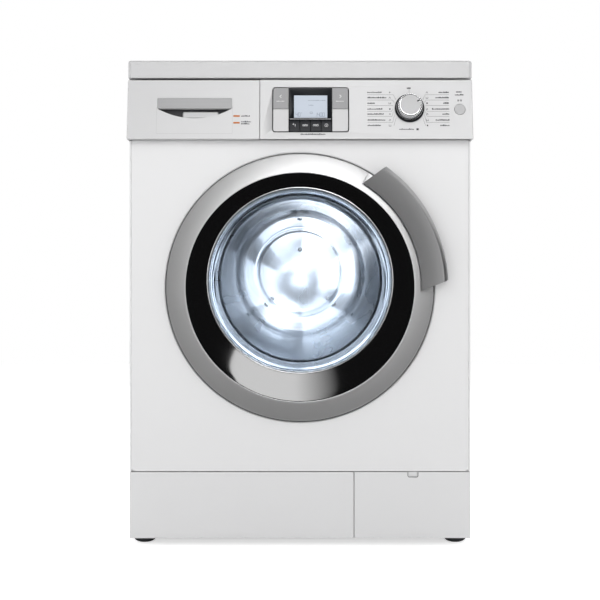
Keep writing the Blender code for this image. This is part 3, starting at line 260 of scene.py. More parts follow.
def make_materials():
    m = {
        "floor": surfaced("floor", (0.86, 0.86, 0.86), 0.7, 60, 0.05, mottle=0.01, specular=0.1),
        "enamel": surfaced("white_enamel", (0.70, 0.70, 0.705), 0.36, 520, 0.05, 0.04),
        "white": surfaced("white_plastic", (0.56, 0.56, 0.565), 0.42, 900, 0.10, 0.05),
        "drawer": surfaced("drawer_white", (0.56, 0.56, 0.565), 0.40, 900, 0.10, 0.05),
        "plinth": surfaced("plinth_white", (0.66, 0.66, 0.665), 0.45, 900, 0.12, 0.05),
        "worktop": surfaced("worktop_laminate", (0.53, 0.53, 0.535), 0.42, 1400, 0.22, 0.04, mottle=0.012),
        "silver": brushed("brushed_silver", (0.70, 0.70, 0.703), 0.50, 0.82, 0.08),
        "handle": brushed("handle_silver", (0.40, 0.40, 0.404), 0.55, 0.72, 0.06),
        "handle_edge": brushed("handle_edge_silver", (0.52, 0.52, 0.525), 0.28, 0.95, 0.05),
        "black": surfaced("bezel_black", (0.0015, 0.0015, 0.0018), 0.07, 30, 0.006, specular=0.8),
        "frame_black": surfaced("display_black", (0.010, 0.011, 0.013), 0.22, 700, 0.03, specular=0.10),
        "black_key": surfaced("black_key", (0.016, 0.017, 0.020), 0.35, 900, 0.06, 0.04, specular=0.12),
        "grey_key": surfaced("grey_key", (0.30, 0.30, 0.305), 0.45, 900, 0.05, 0.04, specular=0.25),
        "light_key": surfaced("light_key", (0.57, 0.57, 0.575), 0.45, 900, 0.05, 0.04, specular=0.25),
        "grip": surfaced("grip_grey", (0.34, 0.34, 0.345), 0.42, 900, 0.08, 0.04, metallic=0.05,
                         specular=0.3),
        "start": surfaced("start_silver", (0.44, 0.44, 0.445), 0.45, 900, 0.05, 0.04, specular=0.25),
        "dial_face": surfaced("dial_face", (0.42, 0.42, 0.425), 0.48, 240, 0.05, 0.03, stretch=(1, 1, 9),
                              metallic=0.10, specular=0.3),
        "chrome": surfaced("chrome", (0.62, 0.62, 0.63), 0.12, 300, 0.01, 0.03, metallic=1.0),
        "rubber": surfaced("gasket_rubber", (0.23, 0.235, 0.245), 0.55, 380, 0.25, 0.08, mottle=0.06),
        "foot": surfaced("foot_rubber", (0.032, 0.033, 0.036), 0.6, 300, 0.3, 0.08),
        "dark": surfaced("dark_plastic", (0.035, 0.035, 0.037), 0.5, 500, 0.2, 0.06),
        "base": surfaced("base_plastic", (0.10, 0.10, 0.105), 0.55, 400, 0.3, 0.06, mottle=0.05),
        "tub": surfaced("tub_plastic", (0.34, 0.35, 0.36), 0.5, 350, 0.3, 0.08, mottle=0.05),
        "concrete": surfaced("cast_concrete", (0.40, 0.39, 0.37), 0.9, 160, 0.8, mottle=0.25, distance=0.003),
        "zinc": surfaced("zinc_plate", (0.58, 0.59, 0.61), 0.45, 90, 0.05, 0.10, mottle=0.10, metallic=0.75),
        "cast": surfaced("cast_aluminium", (0.52, 0.53, 0.54), 0.48, 260, 0.5, 0.08, mottle=0.06,
                         metallic=1.0),
        "motor": surfaced("motor_steel", (0.16, 0.16, 0.17), 0.45, 200, 0.3, 0.08, metallic=0.7),
        "belt": surfaced("belt_rubber", (0.02, 0.02, 0.022), 0.6, 500, 0.4, 0.05),
        "blue": surfaced("blue_plastic", (0.07, 0.19, 0.46), 0.42, 500, 0.15, 0.05),
        "print": surfaced("grey_print", (0.055, 0.055, 0.06), 0.6, 900, 0.05, specular=0.1),
        "pale_print": surfaced("pale_print", (0.80, 0.80, 0.81), 0.5, 900, 0.05),
        "orange": surfaced("orange_print", (0.50, 0.15, 0.025), 0.5, 900, 0.05, specular=0.2),
        # near black: painted shade for the drawer scoop under the grip, whose real plastic is white
        "scoop": surfaced("scoop_painted_shade", (0.10, 0.10, 0.105), 0.6, 900, 0.1, specular=0.1),
        "pale_seam": surfaced("pale_seam", (0.42, 0.42, 0.425), 0.6, 500, 0.1),
        "digits": surfaced("display_ink", (0.20, 0.24, 0.32), 0.5, 900, 0.05),
        "steel": surfaced("drum_steel", (0.66, 0.68, 0.71), 0.28, 40, 0.05, 0.08, stretch=(1, 14, 1),
                          metallic=1.0),
        "lifter": surfaced("lifter_plastic", (0.55, 0.56, 0.58), 0.35, 300, 0.15, 0.05),
    }
    tree, on_camera = m["floor"].node_tree, 0.62
    path = node(tree, "ShaderNodeLightPath").outputs["Is Camera Ray"]
    glow = node(tree, "ShaderNodeMath", path, on_camera, operation="MULTIPLY")
    tree.links.new(glow.outputs[0], surface(m["floor"])["Emission Strength"])
    surface(m["floor"])["Emission Color"].default_value = (1, 1, 1, 1)
    glass = principled("door_glass_clear", (0.83, 0.90, 0.98), 0.0, transmission=1.0, ior=1.46)
    m["glass"] = see_through(grain(glass, 14, 0.012, distance=0.002))
    m["screen"] = surfaced("display_screen", (0.40, 0.44, 0.50), 0.40, 700, 0.05, mottle=0.02, specular=0.25)
    surface(m["screen"])["Emission Color"].default_value = (0.62, 0.70, 0.82, 1)
    surface(m["screen"])["Emission Strength"].default_value = 0.16
    return m


MATERIALS = make_materials()


# ---------------------------------------------------------------- mesh helpers
def finish(bm, name, look, body, matrix=None, sharp=35.0, replaces=None, slot=None, bevel=0.0, segments=3,
           weighted=False):
    """A bmesh becomes a named piece that rides on a body and stands for the CAD nodes it replaces."""
    bmesh.ops.recalc_face_normals(bm, faces=bm.faces)
    mesh = bpy.data.meshes.new(name)
    if matrix is not None:
        bm.transform(matrix)
    bm.to_mesh(mesh)
    bm.free()
    obj = bpy.data.objects.new(name, mesh)
    bpy.context.scene.collection.objects.link(obj)
    if look:
        mesh.materials.append(MATERIALS[look])
    if bevel:
        edge = obj.modifiers.new("edge", "BEVEL")
        edge.width, edge.segments, edge.angle_limit = bevel, segments, radians(30)
        edge.harden_normals = False
        apply_modifiers(obj)
    shade(obj, sharp)
    if weighted or bevel:
        weigh_normals(obj, 80)
    if body:
        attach(obj, body)
    if replaces:
        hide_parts(replaces)
    return obj


def shade(obj, sharp=35.0):
    obj.data.shade_smooth()
    obj.data.set_sharp_from_angle(angle=radians(sharp))


def weigh_normals(obj, weight=50):
    normals = obj.modifiers.new("normals", "WEIGHTED_NORMAL")
    normals.keep_sharp, normals.weight = True, weight


def apply_modifiers(obj):
    bpy.context.view_layer.update()
    graph = bpy.context.evaluated_depsgraph_get()
    mesh = bpy.data.meshes.new_from_object(obj.evaluated_get(graph))
    old = obj.data
    obj.modifiers.clear()
    obj.data = mesh
    bpy.data.meshes.remove(old)


def carve(obj, *cutters, sharp=35.0):
    """Cuts each helper out of a piece, throws the helpers away and shades the piece again."""
    for helper in cutters:
        step = obj.modifiers.new("cut", "BOOLEAN")
        step.operation, step.object, step.solver = "DIFFERENCE", helper, "EXACT"
    apply_modifiers(obj)
    for helper in cutters:
        bpy.data.objects.remove(helper)
    shade(obj, sharp)
    return obj


def thicken(obj):
    """Gives the drum's sheet its thickness, half to each side."""
    skin = obj.modifiers.new("skin", "SOLIDIFY")
    skin.thickness, skin.offset = 0.0007, 0.0
    apply_modifiers(obj)
    return obj


def bridge(bm, rows, around=True, onward=False, caps=False):
    """Faces between rows of points. around closes each row, and onward joins the last row to the first."""
    count = len(rows[0])
    for this, following in zip(rows, rows[1:] + (rows[:1] if onward else [])):
        for i in range(count if around else count - 1):
            j = (i + 1) % count
            corners = list(dict.fromkeys((this[i], this[j], following[j], following[i])))
            if len(corners) > 2:
                bm.faces.new(corners)
    if caps:
        bm.faces.new(rows[0])
        bm.faces.new(rows[-1])


def box_mesh(low, high):
    low, high = Vector(low), Vector(high)
    bm = bmesh.new()
    size = Matrix.Diagonal((*(high - low), 1.0))
    bmesh.ops.create_cube(bm, size=1.0, matrix=Matrix.Translation((low + high) / 2) @ size)
    return bm


def box(name, low, high, look, body, radius=0.001, **options):
    return finish(box_mesh(low, high), name, look, body, bevel=radius, **options)


def helper_of(bm, matrix=None):
    """A shape that only cuts others."""
    return finish(bm, "cutter", None, None, matrix)


def cutter(low, high, matrix=None):
    return helper_of(box_mesh(low, high), matrix)


def rod_cutter(radius, low, high, centre, steps, matrix=None):
    return helper_of(lathe_mesh([(0, low), (radius, low), (radius, high), (0, high)], centre, steps), matrix)


def prism_mesh(outline, low, high, axis="Y"):
    places = {"X": (1, 2, 0), "Y": (0, 2, 1), "Z": (0, 1, 2)}[axis]
    bm = bmesh.new()
    corners = []
    for first, second in outline:
        point = [0.0, 0.0, 0.0]
        point[places[0]], point[places[1]], point[places[2]] = first, second, low
        corners.append(bm.verts.new(point))
    face = bm.faces.new(corners)
    raised = bmesh.ops.extrude_face_region(bm, geom=[face])
    lift = [0.0, 0.0, 0.0]
    lift[places[2]] = high - low
    bmesh.ops.translate(bm, vec=lift, verts=[v for v in raised["geom"] if isinstance(v, bmesh.types.BMVert)])
    return bm


def prism(name, outline, low, high, look, body, axis="Y", radius=0.0, **options):
    return finish(prism_mesh(outline, low, high, axis), name, look, body, bevel=radius, **options)


def arc(centre, radius, start, end, steps):
    angles = [start + (end - start) * i / steps for i in range(steps + 1)]
    return [(centre[0] + radius * cos(a), centre[1] + radius * sin(a)) for a in angles]


def rounded_rectangle(low_x, high_x, low_z, high_z, corner, steps=6):
    outline = []
    for x, z, start in (
        (high_x - corner, high_z - corner, 0.0),
        (low_x + corner, high_z - corner, pi / 2),
        (low_x + corner, low_z + corner, pi),
        (high_x - corner, low_z + corner, 3 * pi / 2),
    ):
        outline += arc((x, z), corner, start, start + pi / 2, steps)
    return outline


def rounded_profile(points, radius, steps=3):
    """A closed polygon with each corner rounded, which keeps inside the original."""
    out = []
    count = len(points)
    for i in range(count):
        before, here, after = (Vector(points[(i + k) % count]) for k in (-1, 0, 1))
        a, b = before - here, after - here
        if min(a.length, b.length) < 1e-9 or radius == 0:
            out.append(tuple(here))
            continue
        cut = min(radius, a.length * 0.45, b.length * 0.45)
        start, end = here + a.normalized() * cut, here + b.normalized() * cut
        for k in range(steps + 1):
            t = k / steps
            out.append(tuple(start * (1 - t) ** 2 + here * 2 * t * (1 - t) + end * t * t))
    return out


def lathe_mesh(profile, centre, steps=128, axis="Y"):
    """Spins a closed profile of (radius, distance along the axis) points. Points on the axis close to one."""
    bm = bmesh.new()
    centre = Vector(centre)

    def place(r, d, angle):
        a, b = r * cos(angle), r * sin(angle)
        return centre + (Vector((a, d, b)) if axis == "Y" else Vector((a, b, d)))

    rows = []
    for r, d in profile:
        if r < 1e-7:
            rows.append([bm.verts.new(place(0, d, 0))] * steps)
        else:
            rows.append([bm.verts.new(place(r, d, tau * i / steps)) for i in range(steps)])
    bridge(bm, rows, onward=True)
    return bm


def lathe(name, profile, centre, look, body, steps=128, axis="Y", **options):
    return finish(lathe_mesh(profile, centre, steps, axis), name, look, body, **options)


def loft_mesh(loops, steps=192):
    """A ring round the door's axis whose cross-section is a closed polygon of (radius, depth, height)."""
    bm = bmesh.new()
    rows = []
    for r, d, z in loops:
        angles = [tau * i / steps for i in range(steps)]
        rows.append([bm.verts.new((r * cos(a), inward(d), z + r * sin(a))) for a in angles])
    bridge(bm, rows, onward=True)
    return bm


def strokes_mesh(lines, top=-0.00025, bottom=0.0003):
    """Flat printed marks on the raked face. Each is (x0, z0, x1, z1, width)."""
    bm = bmesh.new()
    for x0, z0, x1, z1, width in lines:
        a, b = Vector((x0, 0, z0)), Vector((x1, 0, z1))
        along = b - a
        if along.length < 1e-7:
            continue
        side = Vector((-along.z, 0, along.x)).normalized() * width / 2
        ring = []
        for y in (top, bottom):
            lift = Vector((0, y, 0))
            ring.append([bm.verts.new(p + lift) for p in (a - side, b - side, b + side, a + side)])
        bridge(bm, ring, caps=True)
    return bm


def wire_mesh(points, radius, sides=8, cyclic=False):
    """A round wire along a path."""
    bm = bmesh.new()
    rows, side = [], None
    count = len(points)
    points = [Vector(p) for p in points]
    for i, p in enumerate(points):
        before = points[i - 1] if i or cyclic else points[i]
        after = points[(i + 1) % count] if i < count - 1 or cyclic else points[i]
        along = (after - before).normalized()
        if side is None:
            side = along.orthogonal().normalized()
        side = (side - along * side.dot(along)).normalized()
        other = along.cross(side)
        rows.append([bm.verts.new(p + (side * cos(a) + other * sin(a)) * radius)
                     for a in (tau * k / sides for k in range(sides))])
    bridge(bm, rows, onward=cyclic, caps=not cyclic)
    return bm


def hoop_mesh(centre, radius, thickness, steps):
    """A wire ring round an axis along Y."""
    x, y, z = centre
    turns = [tau * i / steps for i in range(steps)]
    return wire_mesh([(x + radius * cos(a), y, z + radius * sin(a)) for a in turns], thickness, 6, True)


def joined(name, meshes, look, body, **options):
    """Several bmeshes as one piece."""
    whole = bmesh.new()
    for bm in meshes:
        mesh = bpy.data.meshes.new("part")
        bm.to_mesh(mesh)
        bm.free()
        whole.from_mesh(mesh)
        bpy.data.meshes.remove(mesh)
    return finish(whole, name, look, body, **options)


# ---------------------------------------------------------------- cabinet
def make_cabinet():
    low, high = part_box("worktop")
    make_worktop(low, high)

    # shell: a wrapped sheet with rounded rear corners and turned-in front lips
    x, z0, z1 = SHELL_HIGH.x, SHELL_LOW.z, SHELL_HIGH.z
    back, front = SHELL_HIGH.y, SHELL_LOW.y
    outer = [(x - 0.018, front), (x, front)] + arc((x - 0.010, back - 0.010), 0.010, 0, pi / 2, 8)
    outer += [(-a, b) for a, b in reversed(outer)]
    skin = 0.0012
    inner = [(x - 0.018, front + skin), (x - skin, front + skin)]
    inner += arc((x - 0.010, back - 0.010), 0.010 - skin, 0, pi / 2, 8)
    inner += [(-a, b) for a, b in reversed(inner)]
    shell = prism("shell_sheet", outer + list(reversed(inner)), z0, z1, "enamel", "cabinet", "Z",
                  weighted=True, replaces="cabinet_shell")
    ports = []
    for node_name, radius in (("inlet_valve", 0.0150), ("drain_outlet", 0.0132), ("cable_gland", 0.0108)):
        lo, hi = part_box(node_name)
        centre = ((lo.x + hi.x) / 2, back, INLET_Z if node_name == "inlet_valve" else (lo.z + hi.z) / 2)
        ports.append(rod_cutter(radius, -0.02, 0.02, centre, 32))
    carve(shell, *ports)

    # a shallow pressing in each side stiffens it
    for label, side in (("left", -1), ("right", 1)):
        outline = rounded_rectangle(inward(0.085), back - 0.060, z0 + 0.075, z1 - 0.085, 0.045, 10)
        ends = sorted((side * (x - 0.0003), side * (x + 0.0008)))
        prism(f"side_pressing_{label}", outline, ends[0], ends[1], "enamel", "cabinet", "X", 0.0006,
              segments=2)

    make_front_panel()
    make_plinth()
    make_rear()
    for label in ("front_left", "front_right", "rear_left", "rear_right"):
        lo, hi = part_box(f"foot_{label}")
        centre = ((lo.x + hi.x) / 2, (lo.y + hi.y) / 2, 0)
        r, top = (hi.x - lo.x) / 2, 0.0094
        pad = [(0, 0.0), (r * 0.56, 0.0), (r * 0.76, 0.0014), (r * 0.93, 0.0038), (r, 0.0066),
               (r, top - 0.0006), (r - 0.0008, top), (0.0040, top), (0.0040, 0.040), (0, 0.040)]
        lathe(f"foot_pad_{label}", pad, centre, "foot", f"foot_{label}", 40, "Z", replaces=f"foot_{label}")


def make_worktop(low, high):
    """A laminated board: a soft upper edge and a crisp lower one."""
    rows = []
    bm = bmesh.new()
    for z, inset in ((low.z, 0.0012), (low.z + 0.0005, 0.0003), (low.z + 0.0012, 0.0), (high.z - 0.0042, 0.0),
                     (high.z - 0.0022, 0.0005), (high.z - 0.0008, 0.0018), (high.z, 0.0040)):
        corner = 0.0065 - inset
        outline = rounded_rectangle(low.x + inset, high.x - inset, low.y + inset, high.y - inset, corner, 6)
        rows.append([bm.verts.new((px, py, z)) for px, py in outline])
    bridge(bm, rows, caps=True)
    finish(bm, "worktop_slab", "worktop", "cabinet", sharp=40, weighted=True, replaces="worktop")


def make_front_panel():
    """A flat face with a round opening, rolled vertical edges, and a dish that the door sits in."""
    x, z0, z1 = PANEL_HIGH.x, PANEL_LOW.z, PANEL_HIGH.z
    roll, depth, hole = 0.004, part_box("plinth")[1].y - PANEL_Y, RING_R + 0.0055
    z1 += 0.0032
    bm = bmesh.new()
    steps = 192
    flat = x - roll
    tiny = 1e-9
    circle, border = [], []
    for i in range(steps):
        a = tau * i / steps
        c, s = cos(a), sin(a)
        circle.append(bm.verts.new((hole * c, PANEL_Y, DOOR_Z + hole * s)))
        rise = z1 - DOOR_Z if s > 0 else DOOR_Z - z0
        reach = min(flat / max(abs(c), tiny), rise / max(abs(s), tiny))
        border.append(bm.verts.new((reach * c, PANEL_Y, DOOR_Z + reach * s)))
    bridge(bm, [circle, border])
    for cx, cz in ((flat, z1), (-flat, z1), (-flat, z0), (flat, z0)):
        corner = bm.verts.new((cx, PANEL_Y, cz))
        near = sorted(border, key=lambda v: (v.co - corner.co).length)[:2]
        bm.faces.new((near[0], near[1], corner))
    for side in (-1, 1):
        line = [(side * (flat + roll * sin(a)), PANEL_Y + roll * (1 - cos(a)))
                for a in (pi / 2 * k / 8 for k in range(9))]
        line.append((side * x, PANEL_Y + depth))
        line.append((side * (x - 0.010), PANEL_Y + depth))
        rows = [[bm.verts.new((px, py, z)) for px, py in line] for z in (z0, z1)]
        bridge(bm, rows, around=False)
    for z in (z0, z1):
        rows = [[bm.verts.new((sx * flat, y, z)) for sx in (-1, 1)] for y in (PANEL_Y, PANEL_Y + 0.010)]
        bridge(bm, rows, around=False)
    bmesh.ops.remove_doubles(bm, verts=bm.verts, dist=1e-6)
    finish(bm, "panel_face", "enamel", "cabinet", weighted=True, replaces="front_panel")
    dish = [(hole, 0.0), (RING_R + 0.0042, 0.0003), (RING_R + 0.0034, 0.0011), (RING_R + 0.0030, 0.0026),
            (RING_R + 0.0030, 0.0145), (RING_R + 0.0015, 0.0160), (0.2150, 0.0160), (0.2150, 0.0180),
            (RING_R + 0.0050, 0.0180), (RING_R + 0.0050, 0.0014), (hole, 0.0012)]
    lathe("panel_dish", dish, DOOR_AXIS, "enamel", "cabinet", 192)
    # a black ring in the gap round the door: painted shade that stands for the shadow between the door ring
    # and the panel
    gap_shade_profile = [(RING_R + 0.0004, 0.0030), (RING_R + 0.0026, 0.0030), (RING_R + 0.0026, 0.0140),
            (RING_R + 0.0004, 0.0140)]
    lathe("door_gap_shade_ring", gap_shade_profile, DOOR_AXIS, "foot", "cabinet", 192)
    collar = [(0.184, 0.0164), (0.2165, 0.0164), (0.2165, 0.0176), (0.186, 0.0176), (0.186, 0.032),
              (0.184, 0.032)]
    plate = lathe("port_collar", collar, GLASS_AXIS, "enamel", "cabinet", 160)
    lo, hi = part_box("door_lock")
    slot_z = (lo.z + hi.z) / 2
    carve(plate, cutter((lo.x + 0.004, inward(0.010), slot_z - 0.011),
                        (hi.x - 0.008, inward(0.024), slot_z + 0.011)))


def make_plinth():
    low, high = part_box("plinth")
    flap_low, flap_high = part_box("service_flap")
    seam = flap_low.x - 0.0008
    front = [((low.x, low.y, low.z), (seam - 0.0004, low.y + 0.024, high.z)),
             ((seam - 0.001, low.y + 0.0052, low.z), (high.x, low.y + 0.024, high.z))]
    box("plinth_board", *front[0], "plinth", "cabinet", 0.0016, replaces="plinth")
    frame_piece = finish(box_mesh(*front[1]), "plinth_flap_frame", "plinth", "cabinet")
    filter_low, filter_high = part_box("pump_filter")
    mid = (filter_low.x + filter_high.x) / 2
    carve(frame_piece, cutter((mid - 0.066, low.y, 0.030), (mid + 0.066, low.y + 0.022, 0.110)))

    notch_x, half, deep = 0.198, 0.0092, 0.0092
    top, bottom = flap_high.z, flap_low.z
    left, right = flap_low.x, flap_high.x
    outline = [(left, bottom), (right, bottom), (right, top), (notch_x + half, top),
               (notch_x + half, top - deep + 0.002), (notch_x + half - 0.002, top - deep),
               (notch_x - half + 0.002, top - deep), (notch_x - half, top - deep + 0.002),
               (notch_x - half, top), (left, top)]
    flap = prism_mesh(outline, flap_low.y, flap_low.y + 0.0028)
    backing = box_mesh((left, flap_low.y + 0.0026, bottom), (right, flap_high.y, top))
    finish(flap, "flap_board", "plinth", "flap", bevel=0.0008, segments=2, replaces="service_flap")
    finish(backing, "flap_backing", "plinth", "flap")
    # a dark wire lining the notch's sides and bottom: painted shade in the notch, whose part is white plastic
    u = [(notch_x - half, inward(0.0009), top - 0.0006), (notch_x - half, inward(0.0009), top - deep + 0.002),
         (notch_x - half + 0.002, inward(0.0009), top - deep),
         (notch_x + half - 0.002, inward(0.0009), top - deep),
         (notch_x + half, inward(0.0009), top - deep + 0.002), (notch_x + half, inward(0.0009), top - 0.0006)]
    finish(wire_mesh(u, 0.0008, 6), "flap_notch_shade_line", "dark", "flap", slot="white_plastic")


def make_rear():
    """The back: a screwed service cover, blanking caps and hose fittings."""
    back = SHELL_HIGH.y
    cover = rounded_rectangle(-0.205, 0.205, 0.150, 0.650, 0.030, 8)
    prism("rear_cover", cover, back - 0.0002, back + 0.0016, "zinc", "cabinet", radius=0.0008, segments=2)
    raised = rounded_rectangle(-0.165, 0.165, 0.190, 0.610, 0.060, 12)
    prism("rear_cover_pressing", raised, back + 0.001, back + 0.0046, "zinc", "cabinet", radius=0.0022)
    cover_screws = [(side * 0.190, z) for side in (-1, 1) for z in (0.170, 0.400, 0.630)]
    cover_screws += [(0, 0.165), (0, 0.635)]
    shell_screws = [(side * 0.270, z) for side in (-1, 1) for z in (0.060, 0.300, 0.540, 0.795)]
    screws = [screw_mesh((px, back + 0.0016, pz)) for px, pz in cover_screws]
    screws += [screw_mesh((px, back + 0.0002, pz)) for px, pz in shell_screws]
    joined("rear_screws", screws, "zinc", "cabinet")
    for i, (px, pz) in enumerate(((-0.245, 0.235), (0.245, 0.235), (-0.245, 0.560), (0.245, 0.560))):
        cap = [(0, -0.001), (0.0165, -0.001), (0.0165, 0.0016), (0.0150, 0.0028), (0.0080, 0.0032),
               (0.0065, 0.0022), (0, 0.0022)]
        lathe(f"transport_cap_{i + 1}", cap, (px, back, pz), "dark", "cabinet", 40)
    lo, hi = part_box("inlet_valve")
    thread_x, first, pitch = (lo.x + hi.x) / 2, back + 0.0065, 0.0021
    rings = [hoop_mesh((thread_x, first + k * pitch, INLET_Z), 0.0129, 0.00055, 36) for k in range(7)]
    joined("inlet_thread", rings, "blue", "cabinet")
    clips = []
    for px, pz in ((0.245, 0.690), (0.150, 0.740)):
        clips.append(wire_mesh([(px + 0.011 * cos(a), back + 0.0095 + 0.009 * sin(a), pz)
                                for a in (radians(-78 + 336 * i / 20) for i in range(21))], 0.0014, 8))
    joined("hose_clips", clips, "dark", "cabinet")


def screw_mesh(at):
    """A pan-head screw with a round recess, standing on a surface that faces +Y."""
    radius = 0.0042
    head = [(0, 0), (radius, 0), (radius, 0.0008), (radius * 0.85, 0.0017), (radius * 0.45, 0.0022),
            (radius * 0.35, 0.0012), (0, 0.0012)]
    return lathe_mesh(head, at, 20)


# ---------------------------------------------------------------- control panel
def make_fascia():
    x, z0, z1 = FASCIA_HIGH.x, FASCIA_LOW.z, FASCIA_HIGH.z + 0.0012
    outline = [(PANEL_Y - 0.031, z0), (PANEL_Y - 0.0118, z1), (PANEL_Y + 0.024, z1), (PANEL_Y + 0.024, z0)]
    bm = prism_mesh(outline, -x, x, "X")
    fascia = finish(bm, "fascia_moulding", "white", "cabinet", replaces="fascia", bevel=0.0014)
    edge = FACE_HALF + 0.02

    display_hole = rounded_rectangle(-0.0483, 0.0853, -0.0411, 0.0411, 0.0053)
    hidden_lip = ((-x + 0.0022, PANEL_Y - 0.0285, z0 - 0.01), (x - 0.0022, PANEL_Y + 0.012, z0 + 0.0036))
    carve(fascia,
          cutter(*hidden_lip),
          cutter((-x - 0.01, -0.02, -edge), (SEAM_X, 0.009, edge), FACE),
          cutter((-0.277, 0.0, -0.037), (-0.083, 0.07, 0.037), FACE),
          helper_of(prism_mesh(display_hole, -0.02, 0.017), FACE),
          rod_cutter(0.0100, -0.02, 0.016, (START_X, 0, START_Z), 48, FACE),
          rod_cutter(0.0045, -0.02, 0.016, (DIAL_X, 0, DIAL_Z), 48, FACE))
    weigh_normals(fascia)
    make_print()


def height(z):
    """Face-plane height of a point at this height above the floor."""
    return (z - FACE_Z) / cos(RAKE)


def words(x, z, width, size=0.0027, right=False):
    """A line of small type as plain strokes: no letters."""
    lines = []
    at, end = 0.0, width
    while at < end - 0.0006:
        step = min(rng.choice((0.0009, 0.0012, 0.0016, 0.0021)), end - at)
        start = x - width + at if right else x + at
        rise = rng.choice((0.75, 1.0, 1.0, 1.35))
        lines.append((start, z + (rise - 1) * size * 0.3, start + step, z + (rise - 1) * size * 0.3,
                      size * rise * 0.72))
        at += step + 0.00045
    return lines


def make_print():
    """Programme names and symbols on both sides of the dial, with a rule from each to it."""
    fine, rule = 0.0006, 0.00035
    left_edge, right_edge, ring, reach = 0.1170, 0.2590, 0.0285, 0.0300
    rows = [height(z) for z in (0.7912, 0.7817, 0.7719, 0.7615, 0.7525, 0.7419, 0.7322)]
    left_widths = (0.025, 0.033, 0.013, 0.026, 0.028, 0.031, 0.023)
    right_widths = (0.018, 0.024, 0.010, 0.030, 0.012, 0.024, 0.016)
    last = len(rows) - 1
    marks, rules = [], []
    for i, z in enumerate(rows):
        marks += words(left_edge, z, left_widths[i])
        marks += words(right_edge, z, right_widths[i], right=True)
        for k, ix in enumerate((0.1560, 0.2208)):
            s = 0.0016
            marks += ([(ix - s, z, ix + s, z, fine), (ix, z - s, ix, z + s, fine)],
                      [(ix - s, z - s, ix, z + s, fine), (ix, z + s, ix + s, z - s, fine)],
                      [(ix - s, z - s * 0.8, ix + s, z - s * 0.8, fine), (ix - s, z - s, ix - s, z + s, fine),
                       (ix + s, z - s, ix + s, z + s, fine)],
                      [(ix - s * 0.7, z, ix + s * 0.7, z, 0.0026)])[(i + k) % 4]
        below = z - 0.0042 if i < last else z
        spoke = reach * abs(cos(radians(150 + i * 10 if i < last else 212)))
        inner_z = DIAL_Z + (z - DIAL_Z) * 0.55
        chord = sqrt(max(ring**2 - (inner_z - DIAL_Z) ** 2, 0))
        for side, edge, bend in ((-1, left_edge, min(DIAL_X - spoke, 0.1635) - 0.001),
                                 (1, right_edge, max(DIAL_X + spoke, 0.2165) + 0.001)):
            if i < last:
                rules.append((edge, below, bend, below, rule))
            rules.append((bend, below, DIAL_X + side * chord, inner_z, rule))
    marks += words(DIAL_X - 0.004, height(0.7985), 0.007)
    off_z, pause_z = height(0.7255), height(0.7768)
    marks += words(DIAL_X - 0.018, off_z, 0.026)
    marks.append((DIAL_X + 0.0115, off_z, DIAL_X + 0.0155, off_z, 0.0034))
    rules.append((DIAL_X, DIAL_Z + 0.0290, DIAL_X, height(0.7965), rule))
    marks += words(START_X - 0.0062, height(0.7920), 0.0105)
    marks += words(START_X - 0.0082, height(0.7868), 0.0150)
    for bar_x in (START_X + 0.0012, START_X + 0.0030):
        marks.append((bar_x, pause_z - 0.0017, bar_x, pause_z + 0.0017, 0.0008))
    flat_x, tip_x, half = START_X - 0.0035, START_X - 0.0010, 0.0016
    marks.append((flat_x, pause_z - half, flat_x, pause_z + half, fine))
    marks += [(flat_x, pause_z + side * half, tip_x, pause_z, fine) for side in (1, -1)]
    marks += words(0.0010, height(0.7166), 0.043)
    finish(strokes_mesh(marks), "fascia_type", "print", "cabinet", FACE)
    finish(strokes_mesh(rules, -0.00012), "fascia_rules", "print", "cabinet", FACE)

    lines = []
    for z, width in ((0.7490, 0.015), (0.7388, 0.017), (0.7352, 0.015)):
        lines += words(-0.1020, height(z), width)
    finish(strokes_mesh(lines), "drawer_type", "print", "drawer", FACE)
    bars = [(-0.1155, height(z), -0.1045, height(z), 0.0028) for z in (0.7490, 0.7370)]
    finish(strokes_mesh(bars, -0.0004), "drawer_marks", "orange", "drawer", FACE)


DIGITS = {"0": "abcdef", "1": "bc", "4": "fgbc"}
SEGMENTS = {
    "a": (0, 2, 1, 2), "b": (1, 1, 1, 2), "c": (1, 0, 1, 1), "d": (0, 0, 1, 0), "e": (0, 0, 0, 1),
    "f": (0, 1, 0, 2), "g": (0, 1, 1, 1),
}


def digits(text, x, z, size):
    """Seven-segment figures, as generic numbers on a display."""
    lines = []
    half, gap, width = size / 2, 0.0010, 0.0006
    for i, c in enumerate(text):
        left = x + i * (half + gap)
        for x0, z0, x1, z1 in (SEGMENTS[k] for k in DIGITS[c]):
            lines.append((left + x0 * half, z + z0 * half, left + x1 * half, z + z1 * half, width))
    return lines


